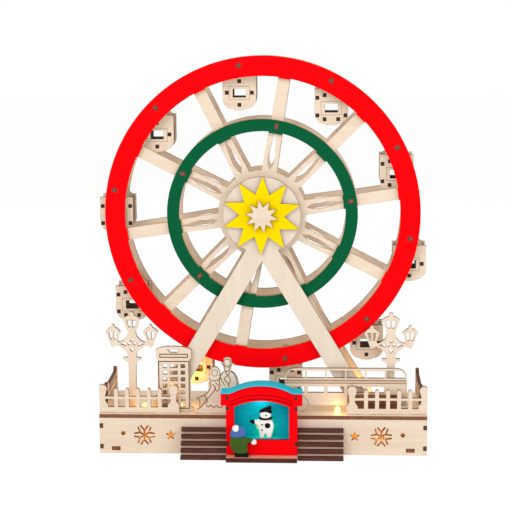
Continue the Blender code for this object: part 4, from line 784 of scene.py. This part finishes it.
def dress_cabins():
    """Ten cabins: two faces with a window, rounded walls, two hangers, etched lines and tab ends."""
    window = square(0.0, -24.2, 11.4, 7.6)
    hanger = [(-12.0, -9.0), (12.0, -9.0), (12.0, -7.3)] + arc(5.2, math.radians(-6), math.radians(186), 22)
    hanger += [(-12.0, -7.3)]
    first = ((0.0, -13.9), (-10.9, -23.8), (10.9, -23.8), (0.0, -34.4))
    second = ((-12.2, -30.5), (12.2, -30.5), (-5.9, -33.8), (5.9, -33.8), (-12.2, -15.2), (12.2, -15.2),
              (-5.9, -12.9), (5.9, -12.9))
    for number, spoke in enumerate(SPOKES):
        angle = spoke + PITCH / 2
        x, z = CABIN_BAR_RADIUS * math.cos(angle), AXLE + CABIN_BAR_RADIUS * math.sin(angle)
        body, name = f"cabin_{number + 1:02d}_body", f"cabin_{number + 1:02d}"
        place = [shifted(loop, x, z) for loop in
                 (cabin_outline(0.0), window, cabin_outline(1.3), cabin_outline(3.5), hanger)]
        hole = ring_of(x, z, 3.0, count=20)
        inside = CABIN_FRONT_Y + PLY
        parts = [("front", place[0], CABIN_FRONT_Y, PLY, [place[1]]),
                 ("back", place[0], CABIN_REAR_Y, PLY, [place[1]]),
                 ("walls", place[2], inside, 18.4, [place[3]]),
                 ("hanger_front", place[4], inside, PLY, [hole]),
                 ("hanger_back", place[4], CABIN_REAR_Y - PLY, PLY, [hole])]
        for part, loop, front, deep, holes in parts:
            plaque(f"{name}_{part}", loop, front, deep, 0.0, birch_cabin, holes, body=body,
                   slot="birch_plywood", replaces=[name] if part == "front" else ())
        frame_line = [(shifted(square(0.0, -24.2, 17.7, 11.5), x, z), 0.45, True)]
        engraved(name + "_etching", frame_line, CABIN_FRONT_Y, etched, body=body)
        ends = first if round(math.degrees(angle)) % 360 in CABINS_WITH_FOUR_TABS else second
        tiles(name + "_tab_ends", [shifted(square(px, pz, 3.3, 3.4), x, z) for px, pz in ends], CABIN_FRONT_Y,
              char_dark, body=body)


def child():
    """A child in a green coat and a blue hat, seen from behind, one arm held out."""
    coat = smooth([(-26.0, 22.6), (-21.0, 23.2), (-15.8, 22.6), (-13.6, 21.6), (-9.2, 21.1), (-7.9, 20.2),
                   (-7.9, 17.9), (-9.3, 17.2), (-12.3, 17.0), (-12.2, 10.2), (-13.6, 7.8), (-18.5, 7.3),
                   (-22.6, 7.7), (-25.6, 10.2), (-27.2, 14.2), (-27.3, 19.0)])
    wool = coated("coat_green", (66, 98, 38), 0.62)
    hat = coated("hat_blue", (78, 112, 178), 0.6)
    snow = coated("wool_white", (246, 244, 240), 0.6)
    shoe = coated("shoe_black", (24, 26, 30), 0.4)
    plaque("child_coat", coat, -49.2, 3.2, 0.9, wool, slot="green_coat_paint", replaces=["child_figure"])
    top = smooth([(-26.6, 22.6), (-27.2, 25.6), (-25.8, 28.8), (-22.6, 30.8), (-19.0, 31.9), (-16.0, 30.9),
                  (-14.2, 28.2), (-13.9, 25.4), (-14.8, 22.8), (-20.5, 21.8)])
    plaque("child_hat", top, -49.6, 3.8, 1.2, hat, slot="teal_paint")
    plaque("child_bobble", ring_of(-22.3, 30.0, 3.1, count=28), -50.3, 4.6, 1.9, snow, slot="white_paint")
    mitt = smooth([(-8.6, 18.6), (-5.9, 20.3), (-4.2, 17.6), (-5.6, 15.7), (-8.6, 16.4)])
    plaque("child_mitten", mitt, -49.5, 3.4, 1.0, snow, slot="white_paint")
    feet = smooth([(-22.8, 8.4), (-17.4, 8.0), (-12.2, 7.9), (-11.2, 6.2), (-11.9, 4.4), (-16.6, 4.4),
                   (-17.4, 5.2), (-18.2, 4.4), (-22.9, 4.4), (-23.4, 6.2)])
    plaque("child_shoes", feet, -49.0, 2.8, 0.7, shoe, slot="black_plastic")


def snow_figure():
    """A snowman with a leaning pointed hat, a scarf and mittens."""
    snow = coated("snow_white", (250, 249, 246), 0.55)
    black = coated("felt_black", (18, 18, 20), 0.7)
    body = smooth([(-2.2, 35.2), (2.5, 35.6), (7.4, 35.2), (9.9, 32.0), (10.4, 28.6), (9.4, 24.0),
                   (8.5, 20.0), (7.6, 18.4), (4.6, 18.4), (4.0, 20.6), (3.0, 22.4), (2.1, 20.8), (1.4, 18.4),
                   (-1.6, 18.4),
                   (-2.1, 22.0), (-2.8, 26.0), (-4.0, 29.4), (-6.6, 31.2), (-8.2, 32.6), (-6.8, 34.0),
                   (-4.6, 34.4)], 3)
    plaque("snowman_body", body, -38.0, 3.4, 1.1, snow, slot="white_paint", replaces=["snowman"])
    plaque("snowman_head", ring_of(3.2, 39.4, 5.0, 3.9, 32), -38.3, 3.8, 1.5, snow, slot="white_paint")
    hat = smooth([(-1.9, 41.6), (-1.1, 43.6), (1.6, 45.2), (4.6, 46.2), (8.0, 47.5), (8.3, 43.6), (8.5, 40.7),
                  (3.4, 42.0)], 3)
    plaque("snowman_hat", hat, -38.7, 4.2, 0.9, black, slot="black_plastic")
    scarf = smooth([(-1.7, 36.9), (3.2, 36.4), (8.1, 36.9), (8.4, 35.4), (3.2, 34.6), (-1.9, 35.4)], 4)
    plaque("snowman_scarf", scarf, -38.7, 4.4, 0.6, black, slot="black_plastic")
    plaque("snowman_mitten_left", smooth([(-6.2, 31.2), (-8.6, 31.6), (-10.8, 33.4), (-8.8, 34.3),
                                          (-6.4, 33.9)], 4), -38.5, 3.6, 0.9, black, slot="black_plastic")
    plaque("snowman_mitten_right", ring_of(5.0, 29.8, 2.4, count=24), -39.0, 2.0, 0.9, black,
           slot="black_plastic")
    for number, (x, z, radius) in enumerate(((0.2, 30.6, 0.65), (0.1, 25.6, 0.65), (3.7, 39.2, 0.65))):
        plaque(f"snowman_button_{number + 1}", ring_of(x, z, radius, count=16), -38.75, 1.0, 0.3, black,
               slot="black_plastic")


def couple_lines(px, pz):
    """A place on the couple's plate, from steps of about a tenth of a millimetre."""
    return -36.4 + (px - 320) * 0.0888, 85.5 - (pz - 185) * 0.0925


def engrave_couple():
    """Clothes and ground of the walking couple."""
    curves = [
        [(352, 240), (350, 200), (365, 186), (398, 186), (412, 200), (410, 240)],
        [(334, 226), (345, 246), (380, 252), (420, 246), (432, 226)],
        [(352, 250), (354, 285), (380, 306), (404, 287), (408, 250)],
        [(345, 305), (312, 350), (300, 400), (312, 445)],
        [(418, 300), (462, 350), (478, 410), (480, 455)],
        [(362, 305), (385, 345), (410, 303)],
        [(383, 345), (350, 380), (384, 420), (398, 458)],
        [(388, 345), (412, 385), (396, 430)],
        [(310, 360), (330, 400), (352, 440)],
        [(196, 368), (215, 392), (250, 398), (288, 390), (318, 366)],
        [(204, 402), (216, 450), (192, 500), (150, 540), (82, 566), (70, 582)],
        [(232, 430), (262, 470), (230, 520), (168, 590), (108, 662)],
        [(262, 418), (300, 452), (282, 500), (250, 470)],
        [(150, 540), (180, 602), (150, 622)],
        [(82, 566), (104, 600), (102, 660)],
        [(160, 634), (190, 656), (214, 640), (244, 664), (270, 642), (300, 662), (334, 650)]]
    lines = [(smooth([couple_lines(*p) for p in curve], 4, False), 0.75, False) for curve in curves]
    face = [couple_lines(255 + 30 * math.cos(a), 320 + 32 * math.sin(a)) for a in
            (math.tau * i / 20 for i in range(20))]
    hood = [couple_lines(254 + 56 * math.cos(a), 322 + 66 * math.sin(a)) for a in
            (math.radians(-205 + 230 * i / 16) for i in range(17))]
    lines += [(face, 0.5, True), (hood, 0.6, False)]
    for x, z in ((367, 264), (393, 264)):
        lines.append(([couple_lines(x - 4, z), couple_lines(x + 4, z)], 0.7, False))
    engraved("couple_engraving", lines, FENCE_Y, burnt)


def engrave_street():
    """Frame lines of the telephone box, seams of the bus, and painted shade on the bus: a darker belt and a
    dark patch low on its right.
    """
    x, deck = -79.0, DECK + 0.3
    lines = [(square(x, deck + 50.5, 24.5, 2.8), 0.95, True),
             (square(x, deck + 23.8, 27.0, 43.0), 0.95, True)]
    engraved("phone_box_engraving", lines, STREET_Y, burnt)
    mid, half = 73.5, 54.0
    # A darker band of wood tones between the seams: painted shade along the bus's belt.
    tiles("tour_bus_belt_shade", [square(mid, deck + 27.6, 2 * half - 1.2, 2.4)], STREET_Y,
          plywood("belt_painted_shade", tones=((206, 176, 146), (216, 188, 160), (226, 200, 174)), seed=29.0),
          proud=0.05)
    # A dark brown tile over the lower right of the bus: painted shade, not a panel of its own.
    tiles("tour_bus_painted_shade", [square(97.0, deck + 9.6, 44.0, 13.0)], STREET_Y,
          plywood("lower_painted_shade", tones=((116, 72, 50), (158, 106, 72), (196, 146, 102)), seed=31.0),
          proud=0.05)
    seams = [([(mid - half + 0.6, deck + 29.0), (mid + half - 0.6, deck + 29.0)], 0.8, False),
             ([(mid - half + 0.6, deck + 26.2), (mid + half - 0.6, deck + 26.2)], 0.6, False)]
    for side in (-1, 1):
        centre = mid + side * 41.0
        arch = [(centre + 8.2 * math.cos(a), deck + 6.4 + 8.2 * math.sin(a))
                for a in (math.radians(-4 + 188 * i / 16) for i in range(17))]
        seams.append((arch, 0.5, False))
    engraved("tour_bus_engraving", seams, STREET_Y, etched_dark)


def roof_line(half, drop, count=48):
    """Points under or along the kiosk's roof from right to left, a drop below its top."""
    points = []
    for i in range(count + 1):
        x = half - 2 * half * i / count
        share = min(abs(x) / 28.1, 1.0)
        points.append((x, 61.1 + 7.0 * (1 - share ** 2.4) ** 1.3 - drop))
    return points


def dress_kiosk():
    """The kiosk's front, walls, back and thin bent roof."""
    top = [(31.1, 49.0), (35.6, 49.0)] + roof_line(35.6, 1.4) + [(-35.6, 49.0), (-31.1, 49.0)]
    window = [(-24.0, 18.1), (24.0, 18.1)]
    window += [(24.0 * (1 - i / 12), 47.8 + 5.5 * (1 - (1 - i / 12) ** 2)) for i in range(25)]
    plaque("kiosk_front_plate", [(-31.1, 4.3), (31.1, 4.3)] + top, KIOSK_Y, PLY, 0.0, kiosk_paint, [window],
           slot="red_paint", replaces=["kiosk_front"])
    plaque("kiosk_back_plate", [(-27.8, 4.3), (27.8, 4.3)] + roof_line(27.8, 1.5), -30.1, PLY, 0.0,
           inside_paint, slot="teal_paint", replaces=["kiosk_back"])
    for side, name in ((-1, "left"), (1, "right")):
        plaque(f"kiosk_wall_{name}_plate", square(side * 29.6, 31.9, 3.0, 55.2), -39.3, 12.2, 0.0, wall_paint,
               slot="red_paint", replaces=["kiosk_wall_" + name])
    roof = roof_line(35.6, 0.0)
    sheet = roof + [(x, z - 1.1) for x, z in reversed(roof)]
    plaque("kiosk_roof_sheet", sheet, -43.9, 15.4, 0.0, roof_paint,
           slot="cyan_paint", replaces=["kiosk_roof"])
    ends = [square(side * 30.0, z, 2.2, 3.2) for side in (-1, 1) for z in (14.4, 46.4, 56.0)]
    tiles("kiosk_tab_ends", ends, KIOSK_Y, char_dark)


def engrave_kiosk():
    """Two arcs across the kiosk's fascia."""
    dark_red = coated("groove_red", (120, 0, 8), 0.5)
    lines = []
    for low, rise, width in ((50.4, 5.6, 0.7), (53.2, 6.2, 0.6)):
        path = [(-27.5 + 55.0 * i / 28, low - 0.8 + rise * (1 - abs(i / 14 - 1) ** 2.1)) for i in range(29)]
        lines.append((path, width, False))
    engraved("kiosk_engraving", lines, KIOSK_Y, dark_red, slot="red_paint")


dress_wheel()
dress_frames()
dress_cabins()
dress_kiosk()
child()
snow_figure()
engrave_couple()
engrave_street()
engrave_kiosk()
